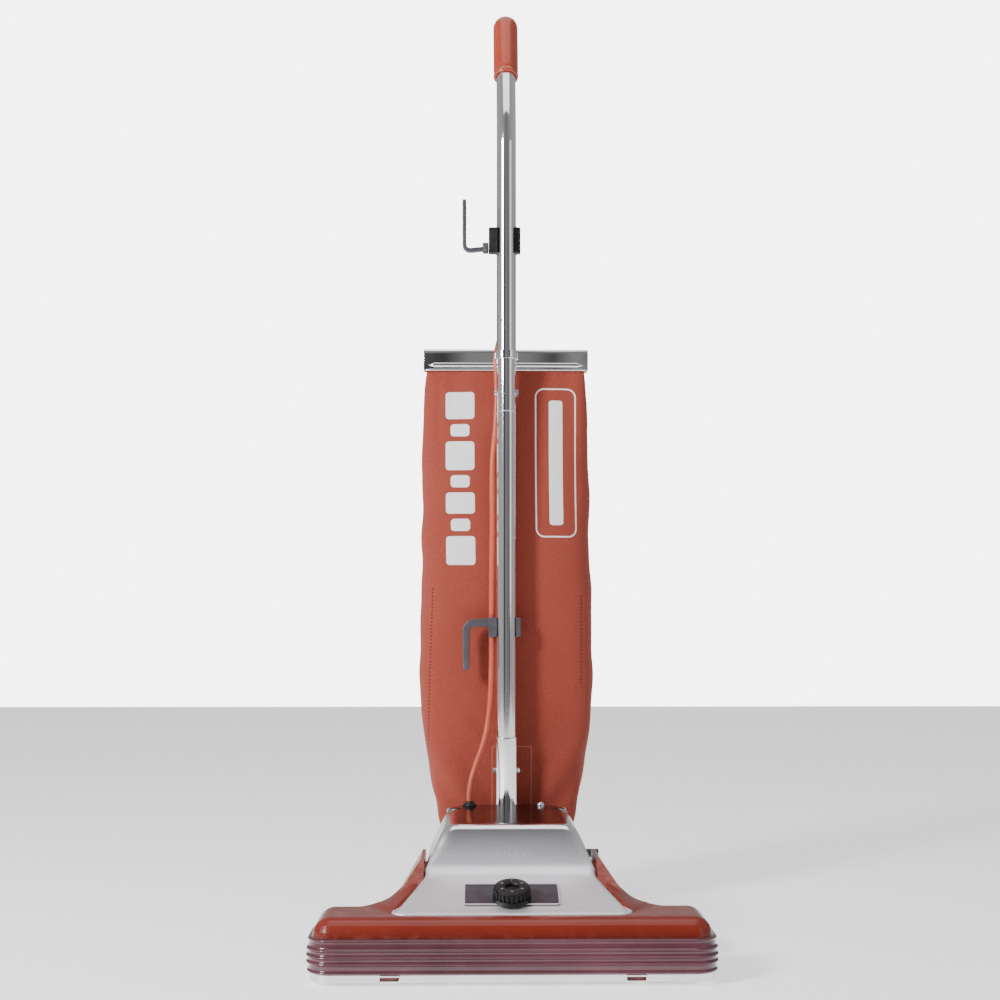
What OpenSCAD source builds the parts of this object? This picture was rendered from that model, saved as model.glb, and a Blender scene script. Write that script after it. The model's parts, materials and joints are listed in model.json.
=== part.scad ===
// Commercial upright vacuum cleaner with a wide nozzle, a tube handle and a hanging cloth bag.
// Millimetres. +Z is up and -Y is the front, where the brush is.
// The origin lies on the floor under the middle of the machine.

/* [Nozzle] */
// Width of the nozzle over its bumper
nozzle_w = 450; // [420:2:460]
// Height of the nozzle above the floor
nozzle_h = 72; // [70:1:76]
// Height of the bumper's top edge
bumper_top = 51; // [48:1:54]
// Number of ridges around the bumper
bumper_ridges = 4; // [3:1:5]

/* [Hood] */
// Height of the hood's flat top
hood_top = 156; // [152:1:160]
// Half of the width of the hood's flat top
hood_top_half = 76; // [74:1:78]
// Thickness of the hood's metal
hood_wall = 1.6; // [1.2:0.2:2]
// Diameter of the height knob
knob_d = 43; // [38:1:46]

/* [Handle] */
// Outer diameter of the lower handle tube
tube_d = 26; // [25:0.5:27]
// Height of the joint between the handle tubes
tube_joint_z = 670; // [640:5:700]
// Height where the upper tube starts to bend back
bend_z = 1022; // [1000:2:1030]
// Angle that the top of the handle leans back
lean = 20; // [15:1:24]
// Length of the grip
grip_len = 96; // [90:1:120]
// Diameter of the grip
grip_d = 33; // [30:1:36]
// Height of the lower cord hook's arm
lower_hook_z = 393; // [380:1:410]
// Height of the upper cord hook's arm
upper_hook_z = 884; // [870:1:900]

/* [Bag] */
// Width of the bag at its widest
bag_w = 229; // [215:1:235]
// Height of the bag clamp's lower edge
clamp_z = 729; // [720:1:740]
// Width of the bag clamp
clamp_w = 219; // [210:1:225]

/* [Wheels] */
// Radius of the rear wheels
rear_wheel_r = 20; // [18:1:21]
// Radius of the front wheels
front_wheel_r = 11; // [10:0.5:11.5]

/* [Cord] */
// Diameter of the mains cord
cord_d = 8; // [7.5:0.5:8]

/* [Hidden] */
$fn = 64;

// Colours
red = [0.62, 0.09, 0.06];
mauve = [0.48, 0.22, 0.22];
bright = [0.85, 0.86, 0.88];
steel = [0.62, 0.63, 0.66];
black = [0.08, 0.08, 0.09];
grey = [0.32, 0.31, 0.35];
orange = [0.75, 0.22, 0.13];
fabric = [0.70, 0.24, 0.19];
copper = [0.72, 0.43, 0.20];

// Running clearance of a shaft in its bore, on the radius, and the gap between loose pieces
fit = 0.05;
gap = 0.4;
// A cut runs this far past a face
over = 1;

// Depth: the bumper is at the front and the bag's back is at the rear
front_y = -240;
rear_y = 240;

// Nozzle
bumper_t = 6;
nozzle_half = nozzle_w / 2 - bumper_t;
nozzle_front = front_y + bumper_t;
nozzle_back = -135;
plate_z = 5;
plate_t = 1.6;
plate_lip = 13;
latch_x = 133;
skin = 4;
corner_r = 22;
top_edge_r = 20;

// Rear part of the housing
deck_half = 88;
deck_back = 136;
deck_top = 66;
shoulder_half = 134;
cheek_in = 100.4;
cheek_front = -100;
cheek_back = -24;
cheek_low = 48;
cheek_top = 117;
hood_seat = 97;
lug_x = 67;
lug_t = 6;

// Brush roll
roll_y = -187;
roll_z = 33;
roll_r = 17;
bristle_r = 25;
roll_half = 196;
roll_pulley_r = 9;
roll_shaft_r = 4;
roll_shaft_half = 209;
cap_out = nozzle_half - skin - 0.2;

// Motor stands upright on the fan chamber
motor_y = -20;
shaft_r = 4;
fan_r = 60;
fan_floor = 35;
fan_chamber_r = 64;
cover_t = 4;
pulley_z = 10;
pulley_h = 12;
pulley_r = 7;
field_r = 54;
field_bore = 29;
core_r = 28;
field_low = 82;
field_high = 116;
bearing_r = 11;
upper_bearing_z = 132;
brush_z = 124;
commutator_r = 13;

// Exhaust port, at the rear under the handle
port_z = 41;
port_in = 17;
port_out = 20;
port_back = 164;

// Handle pivot and tube
pivot_y = 70;
pivot_z = 85;
tube_y = 112;
bridge_z = 143;
bridge_r = 8;
arm_x = 72;
arm_t = 6;
pin_r = 4;
bush_r = 6;
wall = 1.3;
socket_r = 14.5;
socket_base = bridge_z + bridge_r;
socket_top = 244;
upper_tube_d = tube_d - 0.5;
bend_r = 120;
bend_step = 0.02;
socket_bolt_z = 200;
joint_bolt_z = 694;
bolt_r = 2.5;
after_bend = 58;
grip_bore_depth = 54;

// Hood outline
hood_rim_y = -200;
hood_rim_half = 133;
hood_rim_z = 73;
hood_step_y = -111;
hood_step_z = 103;
hood_step_half = 100;
hood_front_top_y = -80;
hood_back_y = 103;
hood_side_half = 98;
hood_low_z = 76;
panel_tilt = atan2(hood_step_z - hood_rim_z, hood_step_y - hood_rim_y);

// Knob and nameplate on the hood's front panel
knob_y = -173;
knob_z = hood_rim_z + (knob_y - hood_rim_y) * tan(panel_tilt);
plate_from_knob = 11.6;
knob_reach = 19;
knob_h = 17;
plate_w = 106;
plate_deep = 46;

// Wheels
carriage_y = -82;
carriage_z = 20;
pivot_pin_r = 2.5;
front_wheel_y = -122;
front_wheel_x = 62;
front_wheel_w = 14;
rear_wheel_y = 104;
rear_wheel_x = 64;
rear_wheel_w = 18;
rear_axle_r = 3;
pedal_y = 76;
pedal_z = deck_top + 6;
front_axle_r = 2.5;

// Bag
bag_front = 136;
bag_split_z = 400;
clamp_y = 150;
clamp_h = 29;
clamp_t = 15;

// Cord hooks
lower_hook_reach = 40;
upper_hook_reach = 46;

// Cord coil, on the floor behind the right end of the nozzle
coil_x = 164;
coil_y = -58;
coil_mid_r = 51;
coil_w = 40;
coil_h = 32;

// Route of the cord from the hood to the coil, chosen by hand
cord_points = [
  [-48, 92, 166], [-47.5, 92.5, 178], [-44.5, 95, 194], [-38.5, 101, 212], [-31, 108, 232],
  [-25, 115, 257], [-20.5, 120, 296], [-19, 121, 350], [-19, 121, 430], [-18, 119, 520],
  [-18, 120, 600], [-14, 127, 650], [-12, 131, 695], [-13, 131, 738], [-11, 136.4, 759],
  [-7, 151, 773.6], [-5, 171, 779], [-6, 191, 773.6], [-9, 205.6, 759], [-12, 211, 739],
  [-13, 213, 700], [-13, 219, 655], [-13, 231, 605], [-13, 244, 545], [-12, 249, 460],
  [-10, 249, 340], [-7, 251, 220], [-4, 254, 145], [-1, 258, 90], [6, 262, 50],
  [22, 267, 21], [48, 268, 6], [77, 261, 4], [103, 240, 4], [117, 205, 4],
  [118, 150, 4], [106, 90, 4], [98, 20, 4], [97, -20, 4], [97, -58, 4]
];
tail_points = [
  [231, -58, 28], [231.5, -38, 28], [229, -17, 24], [221.5, 2, 17], [209.5, 17, 13],
  [194.5, 26.5, 13], [178, 31, 13]
];
plug_x = 178;
plug_y = 31;
plug_z = 13;

// Catmull-Rom point between the second and third of four points
function between(p, q, r, s, t) =
  0.5 * (2 * q + (r - p) * t + (2 * p - 5 * q + 4 * r - s) * t * t + (3 * q - p - 3 * r + s) * t * t * t);
function at(list, i) = list[max(0, min(len(list) - 1, i))];
function smooth(list, steps) = [
  for (i = [0 : len(list) - 2])
    for (k = [0 : steps - 1])
      between(at(list, i - 1), at(list, i), at(list, i + 1), at(list, i + 2), k / steps),
  list[len(list) - 1]
];
function unit(v) = v / norm(v);
function heading(path, i) = unit(at(path, i + 1) - at(path, i - 1));
// A steady side direction keeps the tube's rings from twisting
function side(dir) = abs(dir.x) < 0.9 ? unit(cross(dir, [1, 0, 0])) : unit(cross(dir, [0, 0, 1]));
function carried(old, dir) = unit(old - (old * dir) * dir);
function frames(path, i, old) =
  i >= len(path) ? [] :
  let (now = carried(old, heading(path, i)))
  concat([now], frames(path, i + 1, now));

module tube_along(path, r, sides) {
  starts = frames(path, 0, side(heading(path, 0)));
  last = len(path) - 1;
  rings = [
    for (i = [0 : last])
      for (k = [0 : sides - 1])
        let (u = starts[i], v = cross(heading(path, i), u), a = 360 * k / sides)
        path[i] + r * (cos(a) * u + sin(a) * v)
  ];
  walls = [
    for (i = [0 : last - 1])
      for (k = [0 : sides - 1])
        let (m = (k + 1) % sides)
        [i * sides + k, (i + 1) * sides + k, (i + 1) * sides + m, i * sides + m]
  ];
  start_cap = [for (k = [0 : sides - 1]) k];
  end_cap = [for (k = [sides - 1 : -1 : 0]) last * sides + k];
  polyhedron(rings, concat(walls, [start_cap, end_cap]), convexity = 10);
}

// Cylinder along X, centred on x
module rod_x(r, length, x = 0) {
  translate([x, 0, 0])
    rotate([0, 90, 0])
      cylinder(r = r, h = length, center = true);
}

// Cylinder along Y from y = 0
module rod_y(r, length) {
  rotate([-90, 0, 0])
    cylinder(r = r, h = length);
}

// Both sides of the machine
module both_sides() {
  children();
  mirror([1, 0, 0])
    children();
}

// Nozzle outline seen from above, grown by the given amount
module nozzle_outline(grow) {
  hull()
    for (s = [-1, 1]) {
      translate([s * (nozzle_half - corner_r), nozzle_front + corner_r])
        circle(r = corner_r + grow);
      translate([s * (nozzle_half - 10), nozzle_back - 10])
        circle(r = 10 + grow);
    }
}

// Rounded body of the nozzle, drawn in by the given amount and open down to the given height
module nozzle_shape(inset, low) {
  edge_in = top_edge_r + 1;
  hull()
    for (s = [-1, 1]) {
      translate([s * (nozzle_half - corner_r), nozzle_front + corner_r, low])
        cylinder(r = corner_r - inset, h = bumper_top - low);
      translate([s * (nozzle_half - 10), nozzle_back - 10, low])
        cylinder(r = 10 - inset, h = bumper_top - low);
      for (y = [nozzle_front + edge_in, nozzle_back - edge_in])
        translate([s * (nozzle_half - edge_in), y, nozzle_h - top_edge_r])
          sphere(r = top_edge_r - inset, $fn = 32);
    }
}

// Cheeks beside the hood that fall away to the nozzle's top
module cheeks() {
  for (s = [-1, 1]) {
    scale([s, 1, 1])
      hull() {
        translate([cheek_in, nozzle_back - 15, cheek_low])
          cube([shoulder_half - cheek_in, 10, nozzle_h + 4 - cheek_low]);
        translate([cheek_in, cheek_front, cheek_low])
          cube([4, cheek_back - cheek_front, cheek_top - cheek_low]);
      }
    translate([s * (deck_half + cheek_in) / 2 - 9, nozzle_back - 15, cheek_low])
      cube([18, cheek_back - nozzle_back + 15, nozzle_h - 0.6 - cheek_low]);
  }
}

// Low walls beside the motor that carry the hood
module hood_rails() {
  for (s = [-1, 1])
    translate([s * (deck_half - 3) - 3, -96, deck_top - over])
      cube([6, 96, hood_seat - deck_top + over]);
}

// Low rear deck behind the nozzle
module deck_shape() {
  deck_low = plate_z + plate_t;
  translate([-deck_half, nozzle_back - 10, deck_low])
    cube([2 * deck_half, 60 - nozzle_back + 10, deck_top - deck_low]);
  hull()
    for (s = [-1, 1]) {
      translate([s * (deck_half - 10), 40, deck_low])
        cylinder(r = 10, h = deck_top - deck_low);
      translate([s * (deck_half - 16), deck_back - 16, deck_low])
        cylinder(r = 16, h = deck_top - deck_low);
    }
}

module base_housing() {
  tunnel_half = 26;
  color(red)
    difference() {
      union() {
        nozzle_shape(0, plate_lip);
        cheeks();
        hood_rails();
        deck_shape();
        // Lugs that carry the handle's pins
        for (s = [-1, 1])
          hull() {
            translate([0, pivot_y, pivot_z])
              rod_x(11, lug_t, s * lug_x);
            translate([s * lug_x - lug_t / 2, pivot_y - 16, deck_top - 4])
              cube([lug_t, 32, 2]);
          }
      }
      // Nozzle mouth around the brush roll
      nozzle_shape(skin, -over);
      // Belt tunnel from the mouth to the fan: high in front, low under the fan
      translate([-tunnel_half, nozzle_back - 2 * skin, 0])
        cube([2 * tunnel_half, motor_y - fan_chamber_r - nozzle_back, 50]);
      translate([-tunnel_half, nozzle_back - 2 * skin, 0])
        cube([2 * tunnel_half, motor_y - nozzle_back + 40, fan_floor - 3]);
      translate([0, motor_y, 0])
        cylinder(r = 26, h = fan_floor + over);
      // Fan chamber, open upward and covered by a plate
      translate([0, motor_y, fan_floor])
        cylinder(r = fan_chamber_r, h = 80);
      // Space for the motor
      translate([-76, -92, deck_top])
        cube([152, 142, 80]);
      // Pockets for the front carriage, joined ahead of its pins
      for (s = [-1, 1])
        translate([s * 56 - 22, nozzle_back - 1, 0])
          cube([44, 67, 30]);
      translate([-40, nozzle_back - 1, 0])
        cube([80, 39, 30]);
      // Exhaust duct and port
      translate([0, motor_y + 40, port_z + 4])
        rod_y(12, deck_back - motor_y - 50);
      translate([0, deck_back - 10, port_z])
        rod_y(port_out, 20);
      // Hollows that lighten the casting
      for (s = [-1, 1])
        translate([s * 34 - 14, 50, -over])
          cube([28, 72, 60]);
      for (s = [-1, 1])
        translate([s * (deck_half - 8) - 4, -82, -over])
          cube([8, 150, 58]);
      // Rear wheel wells and axle
      for (s = [-1, 1])
        translate([s * rear_wheel_x - rear_wheel_w / 2 - 2, rear_wheel_y - 24, 0])
          cube([rear_wheel_w + 4, 48, 44]);
      translate([0, rear_wheel_y, rear_wheel_r])
        rod_x(rear_axle_r, 2 * deck_half - 6);
      // Handle pin bores
      translate([0, pivot_y, pivot_z])
        rod_x(pin_r, 160);
      // Bores for the carriage's pins
      translate([0, carriage_y, carriage_z])
        both_sides()
          rod_x(pivot_pin_r, 10, 33);
      // Knob shaft
      translate([0, knob_y, knob_z])
        rotate([panel_tilt, 0, 0])
          translate([0, 0, -40])
            cylinder(r = 7, h = 60);
    }
}

module bumper() {
  band = (bumper_top - plate_lip) / bumper_ridges;
  color(mauve)
    difference() {
      union() {
        translate([0, 0, plate_lip])
          linear_extrude(bumper_top - plate_lip)
            nozzle_outline(bumper_t - 2);
        for (i = [0 : bumper_ridges - 1])
          translate([0, 0, plate_lip + i * band + band * 0.3])
            linear_extrude(band * 0.4)
              nozzle_outline(bumper_t);
      }
      translate([0, 0, plate_lip - over])
        linear_extrude(bumper_top)
          nozzle_outline(0);
      translate([-nozzle_w, nozzle_back - 30, 0])
        cube([2 * nozzle_w, 60, 100]);
    }
}

module bottom_plate() {
  mouth_front = nozzle_front + 12;
  mouth_back = nozzle_back - 14;
  color(steel)
    difference() {
      union() {
        translate([0, 0, plate_z])
          linear_extrude(plate_lip - plate_z)
            nozzle_outline(2);
        translate([-84, nozzle_back - 4, plate_z])
          cube([168, 130, plate_t]);
      }
      translate([0, 0, plate_z + plate_t])
        linear_extrude(20)
          nozzle_outline(0.6);
      translate([-deck_half - over, nozzle_back - 8, plate_z + plate_t])
        cube([2 * deck_half + 2 * over, 30, 20]);
      // Mouth, crossed by guards
      for (i = [-3 : 2])
        translate([i * 68 + 3, mouth_front, 0])
          cube([62, mouth_back - mouth_front, 20]);
      // Opening that the carriage swings down through
      translate([-78, front_wheel_y - 15, 0])
        cube([156, 46, 20]);
      // Latch notches in the front lip
      for (s = [-1, 1])
        translate([s * latch_x - 11, front_y, plate_z + plate_t])
          cube([22, 12, 4]);
      for (s = [-1, 1])
        translate([s * latch_x, nozzle_front + 6, 0])
          cylinder(r = 2.6, h = 20);
    }
}

module plate_latch(s) {
  color(steel)
    translate([s * latch_x, nozzle_front + 6, 0])
      union() {
        translate([-9, -5, plate_z - 2])
          cube([18, 10, 1.8]);
        translate([0, 0, plate_z - 2])
          cylinder(r = 2.5, h = 6);
        translate([-1, -5, plate_z - 3.6])
          cube([2, 10, 1.8]);
      }
}

// Outer or inner surface of the hood, drawn in by the given amount
module hood_shape(inset) {
  hull() {
    translate([-hood_step_half + inset, hood_step_y - 6 + inset, hood_low_z - 40])
      cube([2 * (hood_step_half - inset), 20, 40 + hood_step_z - hood_low_z - inset]);
    translate([-hood_side_half + inset, -60, hood_low_z - 40])
      cube([2 * (hood_side_half - inset), 132, 40]);
    for (s = [-1, 1]) {
      translate([s * (hood_top_half - 12), hood_front_top_y + 12, hood_top - 12])
        sphere(r = 12 - inset, $fn = 32);
      translate([s * (hood_top_half - 36), hood_back_y - 36, hood_top - 10])
        cylinder(r = 36 - inset, h = 10 - inset, $fn = 48);
    }
  }
  hull() {
    translate([-hood_rim_half + inset, hood_rim_y + inset, hood_rim_z - 30])
      cube([2 * (hood_rim_half - inset), 4, 30 - inset]);
    translate([-hood_step_half + inset, hood_step_y, hood_rim_z - 30])
      cube([2 * (hood_step_half - inset), 10, 30 + hood_step_z - hood_rim_z - inset]);
  }
}

module hood() {
  color(bright)
    difference() {
      hood_shape(0);
      hood_shape(hood_wall);
      // The hood rests on the housing and is open below and at the back
      translate([-200, -260, -10])
        cube([400, 500, 10 + hood_rim_z - 1]);
      translate([-200, 60, 0])
        cube([400, 120, 150]);
      // The nozzle, the cheeks and the rails pass under it
      nozzle_shape(0, plate_lip);
      cheeks();
      hood_rails();
      translate([0, tube_y, 100])
        cylinder(r = socket_r + 2.5, h = 100);
      translate([-48, 92, 100])
        cylinder(r = 7, h = 100);
      translate([0, knob_y, knob_z])
        rotate([panel_tilt, 0, 0])
          translate([0, 0, -30])
            cylinder(r = 6, h = 60);
    }
}

module nameplate() {
  color(black)
    translate([0, knob_y, knob_z])
      rotate([panel_tilt, 0, 0])
        difference() {
          translate([-plate_w / 2, plate_from_knob - plate_deep / 2, 0])
            cube([plate_w, plate_deep, 1]);
          translate([0, 0, -over])
            cylinder(r = 6, h = 5);
        }
}

module hood_screws() {
  color(bright)
    translate([44, 93, hood_top])
      difference() {
        sphere(r = 5);
        translate([-6, -6, -12])
          cube([12, 12, 12]);
        translate([-6, -0.6, 3.6])
          cube([12, 1.2, 3]);
      }
}

module cord_strain_relief() {
  color(black)
    translate([-48, 92, 0])
      difference() {
        union() {
          translate([0, 0, hood_top + 0.2])
            cylinder(r = 9, h = 2);
          translate([0, 0, hood_top - 14])
            cylinder(r = 6.6, h = 14.4);
          translate([0, 0, hood_top])
            cylinder(r1 = 6.6, r2 = cord_d / 2 + 1, h = 10);
        }
        translate([0, 0, hood_top - 20])
          cylinder(r = cord_d / 2, h = 40);
      }
}

module motor_field() {
  color(steel)
    translate([0, motor_y, field_low])
      difference() {
        cylinder(r = field_r, h = field_high - field_low);
        translate([0, 0, -over])
          cylinder(r = field_bore, h = 80);
        for (a = [0 : 90 : 270])
          rotate([0, 0, a + 45])
            translate([field_r - 5, 0, -over])
              cylinder(r = 2.6, h = 80);
      }
}

module motor_lower_bracket() {
  color(steel)
    translate([0, motor_y, 0])
      difference() {
        translate([0, 0, deck_top + cover_t])
          cylinder(r = field_r, h = field_low - deck_top - cover_t);
        translate([0, 0, deck_top + cover_t + 10])
          cylinder(r = field_r - 8, h = 20);
        translate([0, 0, 0])
          cylinder(r = bearing_r, h = 100);
      }
}

module motor_upper_bracket() {
  color(steel)
    translate([0, motor_y, 0])
      difference() {
        union() {
          translate([0, 0, field_high])
            cylinder(r = field_r, h = 4);
          translate([0, 0, field_high + 4])
            cylinder(r = 40, h = upper_bearing_z - field_high + 8);
        }
        translate([0, 0, field_high - over])
          cylinder(r = 30, h = upper_bearing_z - field_high - over);
        translate([0, 0, 0])
          cylinder(r = bearing_r, h = 200);
        // Brush holder windows
        translate([0, 0, brush_z])
          rod_x(6.2, 100);
      }
}

module motor_bearings() {
  color(bright)
    translate([0, motor_y, 0])
      for (z = [deck_top + cover_t + 1, upper_bearing_z])
        translate([0, 0, z])
          difference() {
            cylinder(r = bearing_r, h = 8);
            translate([0, 0, -over])
              cylinder(r = shaft_r + fit, h = 12);
          }
}

module brush_holders() {
  color(black)
    translate([0, motor_y, brush_z])
      both_sides()
        difference() {
          rod_x(6.2, 30, 35);
          translate([14, -3.1, -4.1])
            cube([50, 6.2, 8.2]);
        }
}

module carbon_brushes() {
  color(grey)
    translate([0, motor_y, brush_z])
      both_sides()
        translate([commutator_r + 0.4, -3, -4])
          cube([30, 6, 8]);
}

module fan_chamber_cover() {
  color(steel)
    translate([0, motor_y, deck_top])
      difference() {
        cylinder(r = 70, h = cover_t);
        translate([0, 0, -over])
          cylinder(r = shaft_r + 2, h = 10);
      }
}

module exhaust_port() {
  color(grey)
    translate([0, deck_back - 10, port_z])
      difference() {
        rod_y(port_out, port_back - deck_back + 10);
        translate([0, -over, 0])
          rod_y(port_in, 60);
      }
}

module bag_collar() {
  color(black)
    translate([0, port_back - 12, port_z])
      difference() {
        rod_y(port_out + 5, 10);
        translate([0, -over, 0])
          rod_y(port_out + 3, 12);
      }
}

// Cloth sleeve from the exhaust port up to the part of the bag that rides on the handle
module bag_neck() {
  color(fabric)
    difference() {
      hull() {
        translate([0, port_back + 1, port_z])
          rod_y(port_out, 4);
        translate([-95, bag_front + 20, 150])
          cube([190, 64, 10]);
        translate([-bag_w / 2, bag_front, 310])
          cube([bag_w, rear_y - bag_front, bag_split_z - 310 - gap]);
      }
      // The port and its collar stand clear in the sleeve's end
      translate([0, bag_front, port_z])
        rod_y(port_out + 6, port_back + gap - bag_front);
    }
}

// Round belt with a quarter twist from the upright shaft to the brush roll
module drive_belt() {
  r = 2.4;
  p = pulley_r + r + 0.4;
  q = roll_pulley_r + r + 0.4;
  mid = pulley_z + pulley_h / 2;
  path = concat(
    [for (a = [0 : 30 : 180]) [p * cos(a), motor_y + p * sin(a), mid]],
    [for (t = [0.2 : 0.2 : 0.8])
      [-p * (1 - t), motor_y + (roll_y - motor_y) * t, mid + (roll_z - q - mid) * t]],
    [for (a = [-90 : -30 : -270]) [0, roll_y + q * cos(a), roll_z + q * sin(a)]],
    [for (t = [0.2 : 0.2 : 0.8])
      [p * t, roll_y + (motor_y - roll_y) * t, roll_z + q + (mid - roll_z - q) * t]]
  );
  n = len(path);
  color(black)
    for (i = [0 : n - 1])
      hull() {
        translate(path[i])
          sphere(r = r, $fn = 8);
        translate(path[(i + 1) % n])
          sphere(r = r, $fn = 8);
      }
}

module roll_end_caps() {
  color(black)
    both_sides()
      difference() {
        translate([roll_half + 3, roll_y - 11, plate_z + plate_t])
          cube([cap_out - roll_half - 3, 22, roll_z + 11 - plate_z - plate_t]);
        translate([0, roll_y, roll_z])
          rod_x(roll_shaft_r + fit, 2 * roll_shaft_half + 4);
      }
}

module rear_axle() {
  color(steel)
    translate([0, rear_wheel_y, rear_wheel_r])
      rod_x(rear_axle_r, 2 * deck_half - 8);
}

module handle_pivot_pins() {
  color(steel)
    both_sides()
      translate([0, pivot_y, pivot_z])
        difference() {
          union() {
            rod_x(pin_r, 18, 72);
            rod_x(7, 2.6, 81.8);
          }
          rod_x(1.6, 10, 84);
        }
}

module switch_body() {
  color(black)
    translate([26, 76, deck_top])
      difference() {
        cube([26, 20, 18]);
        translate([4, 4, 12])
          cube([18, 12, 10]);
      }
}

module carriage_pins() {
  color(steel)
    translate([0, carriage_y, carriage_z])
      both_sides()
        rod_x(pivot_pin_r, 22, 41);
}

// Foot pedal on a cross pin: a rounded tread on a short arm
module foot_pedal(s, tread) {
  translate([s * (deck_half - 4), pedal_y, pedal_z])
    difference() {
      union() {
        rod_x(5, 7);
        hull() {
          translate([0, 2, 1])
            rod_x(3, 7);
          translate([s * 2, tread.y, tread.z])
            rod_x(4, 9);
        }
        translate(tread)
          rod_x(5.5, 22);
      }
      rod_x(2, 60);
    }
}

module switch_pedal() {
  color(grey)
    foot_pedal(1, [24, 16, 22]);
}

module release_pedal() {
  color(grey)
    foot_pedal(-1, [-9, 22, 6]);
}

module armature_shaft() {
  color(steel)
    translate([0, motor_y, pulley_z - 1])
      cylinder(r = shaft_r, h = 145 - pulley_z);
}

module armature_core() {
  color(steel)
    translate([0, motor_y, field_low + 1])
      difference() {
        cylinder(r = core_r, h = field_high - field_low - 4);
        translate([0, 0, -over])
          cylinder(r = shaft_r, h = 60);
        for (a = [0 : 30 : 330])
          rotate([0, 0, a])
            translate([core_r - 4, -1.2, -over])
              cube([6, 2.4, 60]);
      }
}

module commutator() {
  color(copper)
    translate([0, motor_y, brush_z - 7])
      difference() {
        cylinder(r = commutator_r, h = 12);
        translate([0, 0, -over])
          cylinder(r = shaft_r, h = 60);
        for (a = [0 : 30 : 330])
          rotate([0, 0, a])
            translate([commutator_r - 1, -0.3, -over])
              cube([3, 0.6, 60]);
      }
}

module fan() {
  blade_h = 20;
  color(bright)
    translate([0, motor_y, fan_floor + 3])
      difference() {
        union() {
          translate([0, 0, blade_h - 1])
            cylinder(r = fan_r, h = 2.4);
          cylinder(r = 10, h = blade_h + 1);
          for (a = [0 : 60 : 300])
            rotate([0, 0, a])
              translate([9, 0, 0])
                rotate([0, 0, 20])
                  cube([46, 2.4, blade_h]);
        }
        translate([0, 0, -over])
          cylinder(r = shaft_r, h = 60);
      }
}

module shaft_pulley() {
  color(steel)
    translate([0, motor_y, pulley_z])
      difference() {
        cylinder(r = pulley_r + 3, h = pulley_h);
        translate([0, 0, -over])
          cylinder(r = shaft_r, h = 60);
        rotate_extrude()
          translate([pulley_r + 3, pulley_h / 2])
            circle(r = 3.3, $fn = 32);
      }
}

module brush_roll() {
  color(steel)
    translate([0, roll_y, roll_z])
      difference() {
        union() {
          both_sides()
            rod_x(roll_r, roll_half - 8, roll_half / 2 + 4);
          rod_x(roll_pulley_r - 0.4, 20);
          rod_x(roll_shaft_r, 2 * roll_shaft_half);
        }
        // Shallow grooves hold the rows of bristles
        both_sides()
          for (a = [0 : 90 : 270])
            rotate([a, 0, 0])
              translate([12, -2.2, roll_r - 3])
                cube([roll_half - 16, 4.4, 8]);
      }
}

module bristle_strips() {
  color(black)
    translate([0, roll_y, roll_z])
      both_sides()
        for (a = [0 : 90 : 270])
          rotate([a, 0, 0])
            translate([13, -2, roll_r - 2.8])
              cube([roll_half - 18, 4, bristle_r - roll_r + 2.8]);
}

module height_knob() {
  color(black)
    translate([0, knob_y, knob_z])
      rotate([panel_tilt, 0, 0])
        translate([0, 0, 2])
          difference() {
            union() {
              cylinder(r = knob_d / 2, h = 5);
              cylinder(r = knob_d / 2 - 2.5, h = knob_h - 2);
              for (a = [0 : 15 : 345])
                rotate([0, 0, a])
                  translate([knob_d / 2 - 2.4, 0, 0])
                    cylinder(r = 1.7, h = knob_h - 4);
            }
            translate([0, 0, knob_h - 5])
              cylinder(r = 8, h = 10);
            translate([0, 0, -over])
              cylinder(r = 3, h = 6);
          }
}

module knob_shaft() {
  color(steel)
    translate([0, knob_y, knob_z])
      rotate([panel_tilt, 0, 0]) {
        translate([0, 0, -knob_reach])
          cylinder(r = 3, h = knob_reach + 7);
        // Cam at the lower end
        translate([1.5, 0, -knob_reach])
          cylinder(r = 5, h = 4);
      }
}

module front_carriage() {
  arm_at = 50;
  color(steel)
    difference() {
      union() {
        // Low cross bar under the belt
        translate([-arm_at, carriage_y - 30, carriage_z - 11.5])
          cube([2 * arm_at, 6, 4]);
        for (s = [-1, 1])
          hull() {
            translate([0, carriage_y, carriage_z])
              rod_x(5, 3, s * arm_at);
            translate([0, front_wheel_y, front_wheel_r])
              rod_x(4.6, 3, s * arm_at);
          }
      }
      translate([0, carriage_y, carriage_z])
        rod_x(pivot_pin_r + fit, 200);
      translate([0, front_wheel_y, front_wheel_r])
        rod_x(front_axle_r, 200);
    }
}

module front_axle() {
  color(steel)
    translate([0, front_wheel_y, front_wheel_r])
      rod_x(front_axle_r, 2 * front_wheel_x + front_wheel_w + 4);
}

module wheel(x, y, r, w, bore) {
  translate([x, y, r])
    difference() {
      union() {
        rod_x(r, w - 4);
        rod_x(r - 1.5, w);
      }
      rod_x(bore + fit, 2 * w);
    }
}

module front_wheel_left() {
  color(black)
    wheel(-front_wheel_x, front_wheel_y, front_wheel_r, front_wheel_w, front_axle_r);
}

module front_wheel_right() {
  color(black)
    wheel(front_wheel_x, front_wheel_y, front_wheel_r, front_wheel_w, front_axle_r);
}

module rear_wheel_left() {
  color(black)
    wheel(-rear_wheel_x, rear_wheel_y, rear_wheel_r, rear_wheel_w, rear_axle_r);
}

module rear_wheel_right() {
  color(black)
    wheel(rear_wheel_x, rear_wheel_y, rear_wheel_r, rear_wheel_w, rear_axle_r);
}

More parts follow.
